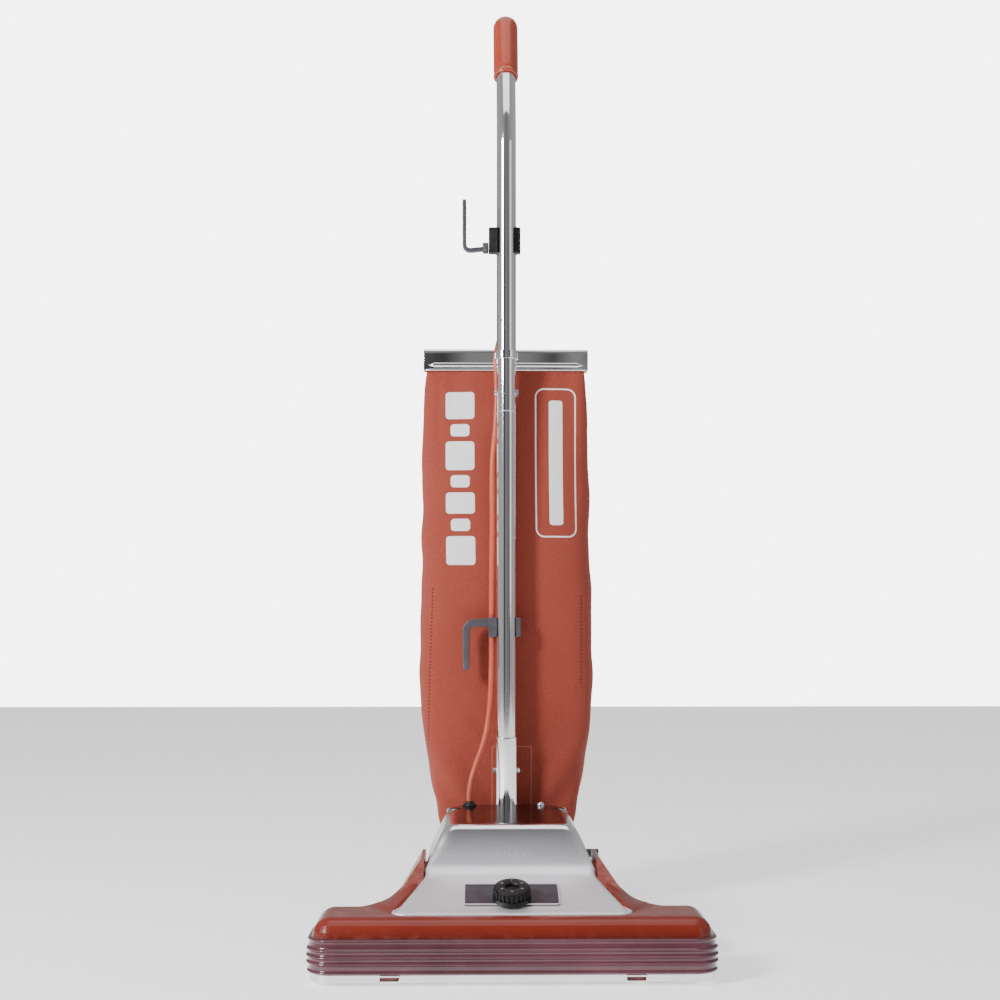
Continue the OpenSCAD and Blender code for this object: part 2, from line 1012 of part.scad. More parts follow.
// Yoke that straddles the housing's lugs and carries the socket
module handle_fork() {
  color(grey)
    difference() {
      union() {
        for (s = [-1, 1])
          hull() {
            translate([0, pivot_y, pivot_z])
              rod_x(11, arm_t, s * (arm_x + arm_t / 2));
            translate([0, tube_y, bridge_z])
              rod_x(bridge_r, arm_t, s * (arm_x + arm_t / 2));
          }
        translate([0, tube_y, bridge_z])
          rod_x(bridge_r, 2 * arm_x);
      }
      translate([0, pivot_y, pivot_z])
        rod_x(bush_r, 200);
      translate([0, tube_y, socket_base])
        cylinder(r = socket_r, h = 20);
    }
}

module fork_bushes() {
  color(copper)
    both_sides()
      translate([0, pivot_y, pivot_z])
        difference() {
          rod_x(bush_r, arm_t, arm_x + arm_t / 2);
          rod_x(pin_r + fit, 20, arm_x + arm_t / 2);
        }
}

module handle_socket() {
  color(bright)
    translate([0, tube_y, 0])
      difference() {
        union() {
          translate([0, 0, socket_base])
            cylinder(r = socket_r, h = socket_top - socket_base);
          translate([0, 0, socket_top - 1.5])
            rotate_extrude()
              translate([socket_r - 0.4, 0])
                circle(r = 0.9, $fn = 24);
        }
        translate([0, 0, socket_base + 6])
          cylinder(r = tube_d / 2, h = 200);
        translate([0, 0, socket_bolt_z])
          rod_x(bolt_r, 60);
      }
}

module lower_tube() {
  color(bright)
    translate([0, tube_y, 0])
      difference() {
        union() {
          translate([0, 0, socket_base + 6])
            cylinder(r = tube_d / 2, h = tube_joint_z - socket_base - 6);
          translate([0, 0, tube_joint_z - over])
            cylinder(r = upper_tube_d / 2 - wall, h = 56);
        }
        translate([0, 0, socket_base])
          cylinder(r = tube_d / 2 - 2 * wall - 0.5, h = 700);
        translate([0, 0, socket_bolt_z])
          rod_x(bolt_r, 60);
        translate([0, 0, joint_bolt_z])
          rod_x(bolt_r, 60);
      }
}

// Moves a shape made upright at z = 0 to the end of the upper tube's bend
module at_bend_end() {
  translate([0, tube_y + bend_r, bend_z])
    rotate([-lean, 0, 0])
      translate([0, -bend_r, 0])
        children();
}

// Upper tube as a solid rod of the given radius, running past its ends by extra
module bent_rod(r, bend_tube_r, extra) {
  translate([0, tube_y, tube_joint_z - extra])
    cylinder(r = r, h = bend_z - tube_joint_z + extra + over);
  translate([0, tube_y + bend_r, bend_z])
    rotate([90, 0, -90])
      rotate_extrude(angle = lean)
        translate([bend_r, 0])
          circle(r = bend_tube_r);
  at_bend_end()
    translate([0, 0, -over])
      cylinder(r = r, h = after_bend + grip_bore_depth + extra + over);
}

module upper_tube() {
  r = upper_tube_d / 2;
  color(bright)
    difference() {
      bent_rod(r, r + bend_step, 0);
      bent_rod(r - wall, r - wall - bend_step, over);
      translate([0, tube_y, joint_bolt_z])
        rod_x(bolt_r, 60);
    }
}

module hand_grip() {
  r = grip_d / 2;
  dome = 11;
  color(orange)
    at_bend_end()
      translate([0, 0, after_bend])
        difference() {
          rotate_extrude()
            difference() {
              union() {
                translate([0, 1.5])
                  square([r - 0.6, grip_len - dome - 1.5]);
                square([r - 1.6, 4]);
                translate([0, 8])
                  square([r, grip_len - dome - 8]);
                translate([r - 1.6, 1.6])
                  circle(r = 1.6);
                square([r - dome, grip_len]);
                translate([r - dome, grip_len - dome])
                  circle(r = dome);
              }
              translate([-2 * r, -over])
                square([2 * r, 2 * grip_len]);
            }
          translate([0, 0, -over])
            cylinder(r = upper_tube_d / 2, h = grip_bore_depth + over);
        }
}

module handle_bolts() {
  color(steel)
    for (b = [[socket_bolt_z, socket_r], [joint_bolt_z, upper_tube_d / 2]])
      translate([0, tube_y, b[0]]) {
        rod_x(bolt_r, 2 * b[1] + 6);
        rod_x(4, 2.4, -b[1] - 1.4);
      }
}

module handle_nuts() {
  color(steel)
    for (b = [[socket_bolt_z, socket_r], [joint_bolt_z, upper_tube_d / 2]])
      translate([0, tube_y, b[0]])
        difference() {
          translate([b[1] + 0.2, 0, 0])
            rotate([0, 90, 0])
              cylinder(r = 4.6, h = 2.6, $fn = 6);
          rod_x(bolt_r, 80);
        }
}

// Clip around the back of the tube, open in front, with a block on the left for the arm
module hook_collar(z, tube_r, h) {
  translate([0, tube_y, z])
    difference() {
      union() {
        translate([0, 0, -h / 2])
          cylinder(r = tube_r + 2.6, h = h);
        translate([tube_r - 1, -6, -h / 2])
          cube([6.6, 10, h]);
        translate([-tube_r - 10.4, -6, -h / 2])
          cube([11.4, 10, h]);
      }
      translate([0, 0, -h])
        cylinder(r = tube_r, h = 2 * h);
      translate([-tube_r + 1, -tube_r - 6, -h])
        cube([2 * tube_r - 2, tube_r + 6, 2 * h]);
    }
}

module lower_cord_hook() {
  r = tube_d / 2;
  color(grey) {
    hook_collar(lower_hook_z - 6, r, 26);
    translate([-r - lower_hook_reach, tube_y - 4, lower_hook_z]) {
      translate([0, 0, -6.5])
        cube([lower_hook_reach - 4, 8, 13]);
      translate([-4, 0, -62])
        cube([8.6, 8, 67]);
    }
  }
}

module upper_hook_collar() {
  color(black)
    hook_collar(upper_hook_z + 9.5, upper_tube_d / 2, 33);
}

// J-shaped hook on a stub, so that it swings down to let the cord off
module upper_cord_hook() {
  x0 = -upper_tube_d / 2 - 10.8;
  color(grey)
    translate([x0, tube_y, upper_hook_z]) {
      translate([-4, 0, 0])
        rod_x(7.6, 8);
      translate([-upper_hook_reach + 14, -5, -6.5])
        cube([upper_hook_reach - 16, 10, 12]);
      translate([-upper_hook_reach + 12, -5, -6.5])
        cube([5, 10, 70]);
    }
}

module bag() {
  top_w = clamp_w - 10;
  color(fabric)
    hull() {
      translate([-top_w / 2, clamp_y - 4, clamp_z - 3])
        cube([top_w, 8, 2]);
      translate([-clamp_w / 2 + 2, bag_front + 2, 640])
        cube([clamp_w - 4, 64, 4]);
      translate([-clamp_w / 2, bag_front, 560])
        cube([clamp_w, 98, 4]);
      translate([-bag_w / 2, bag_front, bag_split_z])
        cube([bag_w, rear_y - bag_front, 4]);
    }
  // Folded top inside the clamp
  color(fabric)
    translate([-top_w / 2, clamp_y - 4, clamp_z - 2])
      cube([top_w, 8, 25]);
}

// Strap and ring that hang the clamp from the handle tube
module bag_hanger() {
  color(steel)
    translate([0, tube_y, clamp_z + clamp_h / 2])
      difference() {
        union() {
          cylinder(r = tube_d / 2 + 2.4, h = 10, center = true);
          translate([-7, tube_d / 2 - 1, -5])
            cube([14, clamp_y - clamp_t / 2 - tube_y - tube_d / 2 + 0.6, 10]);
        }
        cylinder(r = upper_tube_d / 2, h = 20, center = true);
      }
}

// Slide-on channel that folds the top of the bag shut
module bag_clamp() {
  color(grey)
    translate([-clamp_w / 2, clamp_y - clamp_t / 2, clamp_z])
      difference() {
        cube([clamp_w, clamp_t, clamp_h]);
        translate([-over, 2, -over])
          cube([clamp_w + 2 * over, clamp_t - 4, clamp_h - 1]);
      }
}

module cord_run() {
  color(orange) {
    tube_along(smooth(cord_points, 2), cord_d / 2, 8);
    tube_along(smooth(tail_points, 1), cord_d / 2, 8);
  }
}

module cord_coil() {
  color(orange)
    translate([coil_x, coil_y, 0])
      rotate_extrude()
        translate([coil_mid_r - coil_w / 2, 0])
          square([coil_w, coil_h]);
}

module cord_plug() {
  color(black) {
    translate([plug_x, plug_y, plug_z])
      rotate([0, -90, 0])
        cylinder(r1 = 5, r2 = 12, h = 12);
    translate([plug_x - 12, plug_y, plug_z])
      rotate([0, -90, 0])
        cylinder(r = 13, h = 24);
  }
}

module plug_blades() {
  color(steel)
    translate([plug_x - 54, plug_y, plug_z]) {
      for (s = [-1, 1])
        translate([0, s * 6.3 - 0.75, -3.2])
          cube([18, 1.5, 6.4]);
    }
}

base_housing();
bumper();
bottom_plate();
plate_latch(-1);  // plate_latch_left
plate_latch(1);  // plate_latch_right
hood();
nameplate();
hood_screws();
cord_strain_relief();
motor_field();
motor_lower_bracket();
motor_upper_bracket();
motor_bearings();
brush_holders();
carbon_brushes();
fan_chamber_cover();
exhaust_port();
bag_collar();
bag_neck();
drive_belt();
roll_end_caps();
rear_axle();
handle_pivot_pins();
switch_body();
carriage_pins();
switch_pedal();
release_pedal();
armature_shaft();
armature_core();
commutator();
fan();
shaft_pulley();
brush_roll();
bristle_strips();
height_knob();
knob_shaft();
front_carriage();
front_axle();
front_wheel_left();
front_wheel_right();
rear_wheel_left();
rear_wheel_right();
handle_fork();
fork_bushes();
handle_socket();
lower_tube();
upper_tube();
hand_grip();
handle_bolts();
handle_nuts();
lower_cord_hook();
upper_hook_collar();
upper_cord_hook();
bag();
bag_hanger();
bag_clamp();
cord_run();
cord_coil();
cord_plug();
plug_blades();
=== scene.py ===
"""Upright commercial vacuum cleaner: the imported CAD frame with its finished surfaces, cloth and cord."""
import json
import math

import bmesh
import bpy
from mathutils import Matrix, Vector, noise


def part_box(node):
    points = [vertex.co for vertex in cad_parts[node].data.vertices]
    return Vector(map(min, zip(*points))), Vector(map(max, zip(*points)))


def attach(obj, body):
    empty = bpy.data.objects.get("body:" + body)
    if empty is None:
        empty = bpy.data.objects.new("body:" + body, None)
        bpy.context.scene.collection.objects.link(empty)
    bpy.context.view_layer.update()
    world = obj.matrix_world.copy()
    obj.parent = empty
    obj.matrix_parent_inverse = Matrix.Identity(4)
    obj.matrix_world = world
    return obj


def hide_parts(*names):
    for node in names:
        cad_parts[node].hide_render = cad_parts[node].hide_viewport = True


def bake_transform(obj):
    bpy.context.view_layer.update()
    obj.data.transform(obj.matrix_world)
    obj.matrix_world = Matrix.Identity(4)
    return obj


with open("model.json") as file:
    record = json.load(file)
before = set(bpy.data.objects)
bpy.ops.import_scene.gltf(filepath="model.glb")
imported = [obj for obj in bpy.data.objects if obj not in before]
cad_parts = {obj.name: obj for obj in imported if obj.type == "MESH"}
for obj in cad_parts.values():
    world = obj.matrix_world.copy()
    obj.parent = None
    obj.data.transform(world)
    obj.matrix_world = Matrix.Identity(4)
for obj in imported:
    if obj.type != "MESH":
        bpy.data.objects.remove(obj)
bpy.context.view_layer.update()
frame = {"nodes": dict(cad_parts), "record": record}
NODES = frame["nodes"]

MM = 0.001


# ---------------------------------------------------------------- materials

class Finish:
    """A material under construction: its nodes are added and linked by name."""

    def __init__(self, name, **settings):
        self.material = bpy.data.materials.new(name)
        self.material.use_nodes = True
        self.nodes = self.material.node_tree.nodes
        self.links = self.material.node_tree.links
        self.shader = self.nodes["Principled BSDF"]
        for key, value in settings.items():
            self.shader.inputs[key.replace("_", " ")].default_value = value

    def add(self, kind, **inputs):
        node = self.nodes.new(kind)
        for key, value in inputs.items():
            node.inputs[key.replace("_", " ")].default_value = value
        return node

    def link(self, source, target):
        self.links.new(source, target)

    def place(self, stretch=(1, 1, 1)):
        """Object coordinates in metres, stretched."""
        coords = self.add("ShaderNodeTexCoord")
        mapping = self.add("ShaderNodeMapping")
        mapping.inputs["Scale"].default_value = stretch
        self.link(coords.outputs["Object"], mapping.inputs["Vector"])
        return mapping.outputs["Vector"]

    def noise(self, scale, detail=3.0, roughness=0.55, stretch=(1, 1, 1), vector=None):
        node = self.add("ShaderNodeTexNoise", Scale=scale, Detail=detail, Roughness=roughness)
        self.link(vector or self.place(stretch), node.inputs["Vector"])
        return node.outputs["Fac"]

    def ramp(self, value, stops):
        node = self.add("ShaderNodeValToRGB")
        bar = node.color_ramp
        while len(bar.elements) < len(stops):
            bar.elements.new(0.5)
        for element, (place, colour) in zip(bar.elements, stops):
            element.position = place
            element.color = (*colour, 1) if len(colour) == 3 else colour
        self.link(value, node.inputs["Fac"])
        return node.outputs["Color"]

    def scaled(self, value, low, high, start=0.0, end=1.0):
        node = self.add("ShaderNodeMapRange")
        for key, number in (("From Min", start), ("From Max", end), ("To Min", low), ("To Max", high)):
            node.inputs[key].default_value = number
        self.link(value, node.inputs["Value"])
        return node.outputs["Result"]

    def math(self, operation, first, second=None):
        node = self.add("ShaderNodeMath")
        node.operation = operation
        for socket, value in zip(node.inputs, (first, second)):
            if isinstance(value, (int, float)):
                socket.default_value = value
            elif value is not None:
                self.link(value, socket)
        return node.outputs["Value"]

    def mix(self, factor, first, second):
        node = self.add("ShaderNodeMix")
        node.data_type = "RGBA"
        for socket, value in ((node.inputs[0], factor), (node.inputs[6], first), (node.inputs[7], second)):
            if isinstance(value, tuple):
                socket.default_value = (*value, 1)
            elif isinstance(value, (int, float)):
                socket.default_value = value
            else:
                self.link(value, socket)
        return node.outputs[2]

    def bump(self, height, strength, distance, under=None):
        node = self.add("ShaderNodeBump", Strength=strength, Distance=distance)
        self.link(height, node.inputs["Height"])
        if under is not None:
            self.link(under, node.inputs["Normal"])
        self.link(node.outputs["Normal"], self.shader.inputs["Normal"])
        return node.outputs["Normal"]

    def colour(self, value):
        self.link(value, self.shader.inputs["Base Color"])

    def roughness(self, value):
        self.link(value, self.shader.inputs["Roughness"])


def wear(finish, worn, fresh, amount=0.35):
    """Mixes a worn colour in along the edges of a part."""
    geometry = finish.add("ShaderNodeNewGeometry")
    edge = finish.scaled(geometry.outputs["Pointiness"], 0, 1, 0.52, 0.6)
    patch = finish.scaled(finish.noise(90, 4), 0, 1, 0.45, 0.65)
    factor = finish.math("MULTIPLY", finish.math("MULTIPLY", edge, patch), amount)
    return finish.mix(factor, fresh, worn)


def painted_red():
    f = Finish("red enamel", Roughness=0.3, Coat_Weight=0.3, Coat_Roughness=0.05, Coat_IOR=1.45)
    f.shader.inputs["Specular IOR Level"].default_value = 0.3
    tone = f.ramp(f.noise(7, 3), [(0.3, (0.17, 0.016, 0.008)), (0.7, (0.21, 0.021, 0.010))])
    split = f.add("ShaderNodeSeparateXYZ")
    f.link(f.place(), split.inputs["Vector"])
    # Painted reflection: the red is darkened towards the lower edge of the casting, standing in for the dark
    # reflection along that band
    tone = f.mix(f.scaled(split.outputs["Z"], 0.75, 0, 0.050, 0.066), tone, (0.075, 0.006, 0.003))
    f.colour(wear(f, (0.42, 0.16, 0.11), tone))
    f.roughness(f.scaled(f.noise(38, 5), 0.24, 0.38))
    fine = f.bump(f.noise(420, 2), 0.06, 0.0004)
    f.bump(f.noise(16, 2), 0.02, 0.002, fine)
    return f.material


def vinyl_bumper():
    f = Finish("bumper vinyl", Roughness=0.3, Coat_Weight=0.5, Coat_Roughness=0.12)
    f.shader.inputs["Coat Tint"].default_value = (0.86, 0.84, 1.0, 1)
    tone = f.ramp(f.noise(11, 4), [(0.3, (0.058, 0.015, 0.017)), (0.7, (0.125, 0.034, 0.046))])
    f.colour(tone)
    f.roughness(f.scaled(f.noise(60, 4), 0.16, 0.26))
    f.bump(f.noise(60, 2), 0.03, 0.0006)
    return f.material


def polished_aluminium():
    f = Finish("polished aluminium", Metallic=1.0, Roughness=0.2, Anisotropic=0.35)
    split = f.add("ShaderNodeSeparateXYZ")
    f.link(f.place(), split.inputs["Vector"])
    # Satin on the low apron, brighter polish up the front and a mirror on the flat top
    polish = f.scaled(split.outputs["Z"], 0, 1, 0.100, 0.152)
    f.link(f.scaled(polish, 0.62, 1.0), f.shader.inputs["Metallic"])
    smear = f.noise(5, 4, stretch=(1, 1, 3))
    bright = f.ramp(smear, [(0.3, (0.80, 0.78, 0.82)), (0.7, (0.90, 0.88, 0.92))])
    # Painted shade: the flat top's metal colour is made nearly black, standing in for the dark reflection of
    # the bag on it
    f.colour(f.mix(f.scaled(split.outputs["Z"], 0, 1, 0.1545, 0.1556), bright, (0.045, 0.035, 0.040)))
    lines = f.noise(260, 3, stretch=(9, 0.6, 0.6))
    worked = f.math("ADD", f.scaled(smear, 0.0, 0.1), f.scaled(lines, 0.0, 0.06))
    f.roughness(f.math("ADD", worked, f.scaled(polish, 0.30, 0.06)))
    fine = f.bump(lines, 0.04, 0.0003)
    f.bump(f.noise(16, 3), 0.04, 0.0015, fine)
    return f.material


def chrome():
    f = Finish("chrome", Metallic=1.0, Roughness=0.07)
    smear = f.noise(13, 5, stretch=(1, 1, 0.5))
    f.colour(f.ramp(smear, [(0.35, (0.86, 0.84, 0.87)), (0.65, (0.95, 0.93, 0.95))]))
    f.roughness(f.scaled(smear, 0.05, 0.13))
    f.bump(f.noise(34, 2, stretch=(1, 1, 0.1)), 0.02, 0.0006)
    return f.material


def sheet_steel():
    f = Finish("plated steel", Metallic=1.0, Roughness=0.28)
    lines = f.noise(320, 3, stretch=(0.15, 4, 4))
    f.colour(f.ramp(f.noise(22, 4), [(0.3, (0.74, 0.72, 0.75)), (0.7, (0.86, 0.84, 0.87))]))
    f.roughness(f.scaled(lines, 0.18, 0.34))
    f.bump(lines, 0.06, 0.0002)
    return f.material


def motor_steel():
    f = Finish("motor steel", Metallic=0.9, Roughness=0.45)
    f.colour(f.ramp(f.noise(40, 5), [(0.3, (0.20, 0.20, 0.21)), (0.7, (0.34, 0.34, 0.35))]))
    f.roughness(f.scaled(f.noise(120, 4), 0.35, 0.6))
    f.bump(f.noise(500, 3, stretch=(1, 1, 8)), 0.15, 0.0003)
    return f.material


def cast_alloy():
    f = Finish("cast alloy", Metallic=0.85, Roughness=0.38)
    f.colour(f.ramp(f.noise(30, 5), [(0.3, (0.48, 0.48, 0.49)), (0.7, (0.60, 0.60, 0.61))]))
    f.roughness(f.scaled(f.noise(140, 4), 0.3, 0.5))
    f.bump(f.noise(800, 3), 0.12, 0.0003)
    return f.material


def copper_bars():
    f = Finish("copper", Metallic=1.0, Roughness=0.3)
    f.colour(f.ramp(f.noise(60, 4), [(0.3, (0.55, 0.24, 0.12)), (0.7, (0.72, 0.36, 0.20))]))
    f.roughness(f.scaled(f.noise(200, 4), 0.2, 0.42))
    f.bump(f.noise(600, 3, stretch=(1, 1, 6)), 0.1, 0.0002)
    return f.material


def moulded(name, dark, light, rough=(0.3, 0.48), grain=0.1, scale=900):
    f = Finish(name, Roughness=rough[0])
    tone = f.ramp(f.noise(26, 4), [(0.3, dark), (0.7, light)])
    f.colour(wear(f, tuple(c * 1.9 + 0.02 for c in light), tone))
    f.roughness(f.scaled(f.noise(75, 4), *rough))
    f.bump(f.noise(scale, 2), grain, 0.0003)
    return f.material


def grip_vinyl():
    f = Finish("grip vinyl", Roughness=0.3, Coat_Weight=0.2, Coat_Roughness=0.1)
    f.colour(f.ramp(f.noise(30, 4), [(0.3, (0.30, 0.036, 0.014)), (0.7, (0.36, 0.046, 0.018))]))
    f.roughness(f.scaled(f.noise(90, 5), 0.18, 0.32))
    fine = f.bump(f.noise(520, 3), 0.05, 0.0003)
    f.bump(f.noise(30, 2), 0.03, 0.001, fine)
    return f.material


def cord_jacket():
    f = Finish("cord jacket", Roughness=0.42)
    f.colour(f.ramp(f.noise(60, 4), [(0.3, (0.42, 0.062, 0.030)), (0.7, (0.50, 0.080, 0.040))]))
    f.roughness(f.scaled(f.noise(150, 4), 0.34, 0.5))
    f.bump(f.noise(900, 3), 0.1, 0.0003)
    return f.material


def rounded_box(f, u, v, centre, half, radius):
    """Distance to a rounded rectangle in the cloth's own plane, in metres, negative inside."""
    sides = []
    for coord, middle, reach in ((u, centre[0], half[0]), (v, centre[1], half[1])):
        away = f.math("ABSOLUTE", f.math("SUBTRACT", coord, middle))
        sides.append(f.math("MAXIMUM", f.math("SUBTRACT", away, reach - radius), 0.0))
    square = [f.math("MULTIPLY", side, side) for side in sides]
    return f.math("SUBTRACT", f.math("SQRT", f.math("ADD", *square)), radius)


WIDE_BLOCK, NARROW_BLOCK = 0.019, 0.0125
# Lower end, upper end and half width of each plain block printed on the bag
PRINT_BLOCKS = [
    (0.470, 0.508, WIDE_BLOCK), (0.515, 0.531, NARROW_BLOCK), (0.538, 0.566, WIDE_BLOCK),
    (0.573, 0.589, NARROW_BLOCK), (0.596, 0.634, WIDE_BLOCK), (0.641, 0.657, NARROW_BLOCK),
    (0.664, 0.700, WIDE_BLOCK),
]


def bag_cloth():
    f = Finish("bag cloth", Roughness=0.9, Sheen_Weight=0.12, Sheen_Roughness=0.5)
    f.shader.inputs["Sheen Tint"].default_value = (1.0, 0.72, 0.62, 1)
    f.shader.inputs["Specular IOR Level"].default_value = 0.25
    weave_map = f.add("ShaderNodeUVMap")
    weave_map.uv_map = "weave"
    split = f.add("ShaderNodeSeparateXYZ")
    f.link(weave_map.outputs["UV"], split.inputs["Vector"])
    u, v = split.outputs["X"], split.outputs["Y"]
    pitch = 2 * math.pi / (1.5 * MM)
    warp = f.math("SINE", f.math("MULTIPLY", u, pitch))
    weft = f.math("SINE", f.math("MULTIPLY", v, pitch))
    weave = f.scaled(f.math("MULTIPLY", warp, weft), 0, 1, -1, 1)
    slub = f.noise(520, 3, vector=weave_map.outputs["UV"])
    mottle = f.noise(420, 3, vector=weave_map.outputs["UV"])
    broad = f.noise(14, 3, vector=weave_map.outputs["UV"])
    tone = f.ramp(mottle, [(0.28, (0.225, 0.037, 0.024)), (0.72, (0.315, 0.056, 0.037))])
    tone = f.mix(f.scaled(broad, 0, 0.2, 0.35, 0.7), tone, (0.35, 0.068, 0.045))
    tone = f.mix(f.scaled(weave, 0.0, 0.22), tone, (0.26, 0.045, 0.025))
    # Printed marks: a column of plain bars on one side and a rounded frame with a bar on the other
    blocks = None
    for low, high, half in PRINT_BLOCKS:
        box = rounded_box(f, u, v, (-0.061, (low + high) / 2), (half, (high - low) / 2), 0.0045)
        blocks = box if blocks is None else f.math("MINIMUM", blocks, box)
    ring = f.math("ABSOLUTE", rounded_box(f, u, v, (0.066, 0.606), (0.0265, 0.0985), 0.011))
    bar = rounded_box(f, u, v, (0.066, 0.606), (0.009, 0.083), 0.004)
    marks = f.math("MINIMUM", blocks, f.math("MINIMUM", f.math("SUBTRACT", ring, 0.0009), bar))
    printed = f.scaled(marks, 1.0, 0.0, -0.0002, 0.0003)
    label = rounded_box(f, u, v, (0.006, 0.184), (0.026, 0.045), 0.002)
    thin = f.math("SUBTRACT", f.math("ABSOLUTE", label), 0.0005)
    patch = f.scaled(thin, 0.4, 0.0, -0.0002, 0.0004)
    tone = f.mix(printed, tone, (0.83, 0.81, 0.80))
    tone = f.mix(patch, tone, (0.60, 0.26, 0.20))
    # Seams: a dark line with stitches along each side of the front
    for sign, foot, top, lean in ((-1, 0.200, 0.440, 0.045), (1, 0.31, 0.430, 0.010)):
        line = f.math("ADD", f.math("MULTIPLY", f.math("SUBTRACT", v, top), -sign * lean), sign * 0.0985)
        off = f.math("ABSOLUTE", f.math("SUBTRACT", u, line))
        near = f.scaled(off, 1.0, 0.0, 0.0006, 0.0016)
        stitch = f.scaled(f.math("SINE", f.math("MULTIPLY", v, 2 * math.pi / 0.0048)), 0, 1, -0.2, 0.2)
        span = f.math("MULTIPLY", f.math("GREATER_THAN", v, foot), f.math("LESS_THAN", v, top))
        mark = f.math("MULTIPLY", f.math("MULTIPLY", near, stitch), span)
        tone = f.mix(mark, tone, (0.10, 0.014, 0.008))
    f.colour(tone)
    f.roughness(f.scaled(printed, 0.85, 0.55))
    threads = f.bump(weave, 0.35, 0.0005)
    f.bump(slub, 0.3, 0.0006, threads)
    return f.material


def floor_finish():
    f = Finish("pale floor", Roughness=0.5, Emission_Strength=0.9)
    f.shader.inputs["Emission Color"].default_value = (0.96, 0.96, 0.97, 1)
    f.colour(f.ramp(f.noise(2.2, 4), [(0.3, (0.935, 0.935, 0.935)), (0.7, (0.96, 0.96, 0.96))]))
    f.roughness(f.scaled(f.noise(9, 4), 0.42, 0.55))
    f.bump(f.noise(300, 3), 0.03, 0.0003)
    return f.material


FINISHES = {
    "red_casting": painted_red(),
    "bumper_rubber": vinyl_bumper(),
    "bright_metal": chrome(),
    "plate_steel": sheet_steel(),
    "motor_metal": motor_steel(),
    "light_alloy": cast_alloy(),
    "copper_bars": copper_bars(),
    "black_plastic": moulded("black plastic", (0.0006, 0.0006, 0.0007), (0.0016, 0.0015, 0.0017),
                             (0.42, 0.56)),
    "grey_plastic": moulded("grey plastic", (0.046, 0.041, 0.050), (0.066, 0.060, 0.072)),
    "grip_vinyl": grip_vinyl(),
    "bag_cloth": bag_cloth(),
    "belt_rubber": moulded("belt rubber", (0.014, 0.013, 0.013), (0.025, 0.024, 0.024), (0.6, 0.8), 0.2, 500),
    "wheel_tread": moulded("wheel tread", (0.018, 0.017, 0.017), (0.030, 0.029, 0.029), (0.5, 0.7), 0.2, 500),
    "bristle": moulded("bristle", (0.020, 0.018, 0.016), (0.055, 0.050, 0.045), (0.5, 0.8), 0.8, 1400),
    "cord_jacket": cord_jacket(),
    "plug_body": moulded("plug body", (0.012, 0.012, 0.012), (0.022, 0.022, 0.023), (0.35, 0.5), 0.14, 700),
    "hood_aluminium": polished_aluminium(),
    "plate_print": moulded("nameplate", (0.022, 0.020, 0.026), (0.034, 0.031, 0.039), (0.28, 0.42), 0.05,
                           600),
}

for row in frame["record"]["subparts"]:
    slots = NODES[row["node"]].data.materials
    finish = FINISHES[row["material_slot"]]
    if len(slots):
        for index in range(len(slots)):
            slots[index] = finish
    else:
        slots.append(finish)


# ---------------------------------------------------------------- mesh tools

def face_outward(data):
    """Turns the faces of a closed skin outward. An open sheet is left as it was made."""
    work = bmesh.new()
    work.from_mesh(data)
    if all(edge.is_manifold for edge in work.edges):
        bmesh.ops.recalc_face_normals(work, faces=work.faces)
        work.to_mesh(data)
    work.free()


def new_mesh(name, verts, faces, finish, body=None, smooth=True):
    data = bpy.data.meshes.new(name)
    data.from_pydata([tuple(v) for v in verts], [], faces)
    data.validate()
    face_outward(data)
    data.materials.append(FINISHES[finish])
    for polygon in data.polygons:
        polygon.use_smooth = smooth
    piece = bpy.data.objects.new(name, data)
    bpy.context.scene.collection.objects.link(piece)
    if body:
        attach(piece, body)
    return piece


def skin_rings(rings, closed=True, caps=True):
    """Vertices and faces of a skin over rings with the same number of points."""
    count = len(rings[0])
    verts = [point for ring in rings for point in ring]
    steps = count if closed else count - 1
    faces = []
    for i in range(len(rings) - 1):
        for k in range(steps):
            m = (k + 1) % count
            faces.append((i * count + k, i * count + m, (i + 1) * count + m, (i + 1) * count + k))
    if caps:
        faces.append(tuple(reversed(range(count))))
        faces.append(tuple((len(rings) - 1) * count + k for k in range(count)))
    return verts, faces


def smooth_path(points, steps):
    """Catmull-Rom curve through the points."""
    points = [Vector(p) for p in points]
    last = len(points) - 1
    out = []
    for i in range(last):
        p, q, r, s = (points[min(max(i + d, 0), last)] for d in (-1, 0, 1, 2))
        for k in range(steps):
            t = k / steps
            out.append(0.5 * (2 * q + (r - p) * t + (2 * p - 5 * q + 4 * r - s) * t * t
                              + (3 * q - p - 3 * r + s) * t ** 3))
    out.append(points[-1])
    return out


def tube_rings(path, radius, sides):
    """Rings carried along a path without twist. The radius is a number or a list, one for each point."""
    rings = []
    across = None
    for i, point in enumerate(path):
        ahead = (path[min(i + 1, len(path) - 1)] - path[max(i - 1, 0)]).normalized()
        if across is None:
            across = ahead.orthogonal().normalized()
        across = (across - across.dot(ahead) * ahead).normalized()
        other = ahead.cross(across)
        r = radius[i] if isinstance(radius, list) else radius
        rings.append([point + r * (math.cos(a) * across + math.sin(a) * other)
                      for a in (2 * math.pi * k / sides for k in range(sides))])
    return rings


def lathe(name, profile, finish, body, place=Matrix.Identity(4), segments=64):
    """Turned piece: the profile is (radius, height) pairs about the local Z axis."""
    rings = [[place @ Vector((r * math.cos(a), r * math.sin(a), z))
              for a in (2 * math.pi * k / segments for k in range(segments))] for r, z in profile]
    verts, faces = skin_rings(rings)
    return new_mesh(name, verts, faces, finish, body)


def rounded(points, radii, steps=8):
    """Polyline with each inner corner replaced by an arc-like blend of the given reach."""
    points = [Vector(p) for p in points]
    out = [points[0]]
    for i in range(1, len(points) - 1):
        before, here, after = points[i - 1], points[i], points[i + 1]
        reach = min(radii[i - 1], 0.49 * (here - before).length, 0.49 * (after - here).length)
        start = here + (before - here).normalized() * reach
        end = here + (after - here).normalized() * reach
        for k in range(steps + 1):
            t = k / steps
            out.append((1 - t) ** 2 * start + 2 * t * (1 - t) * here + t * t * end)
    out.append(points[-1])
    return out


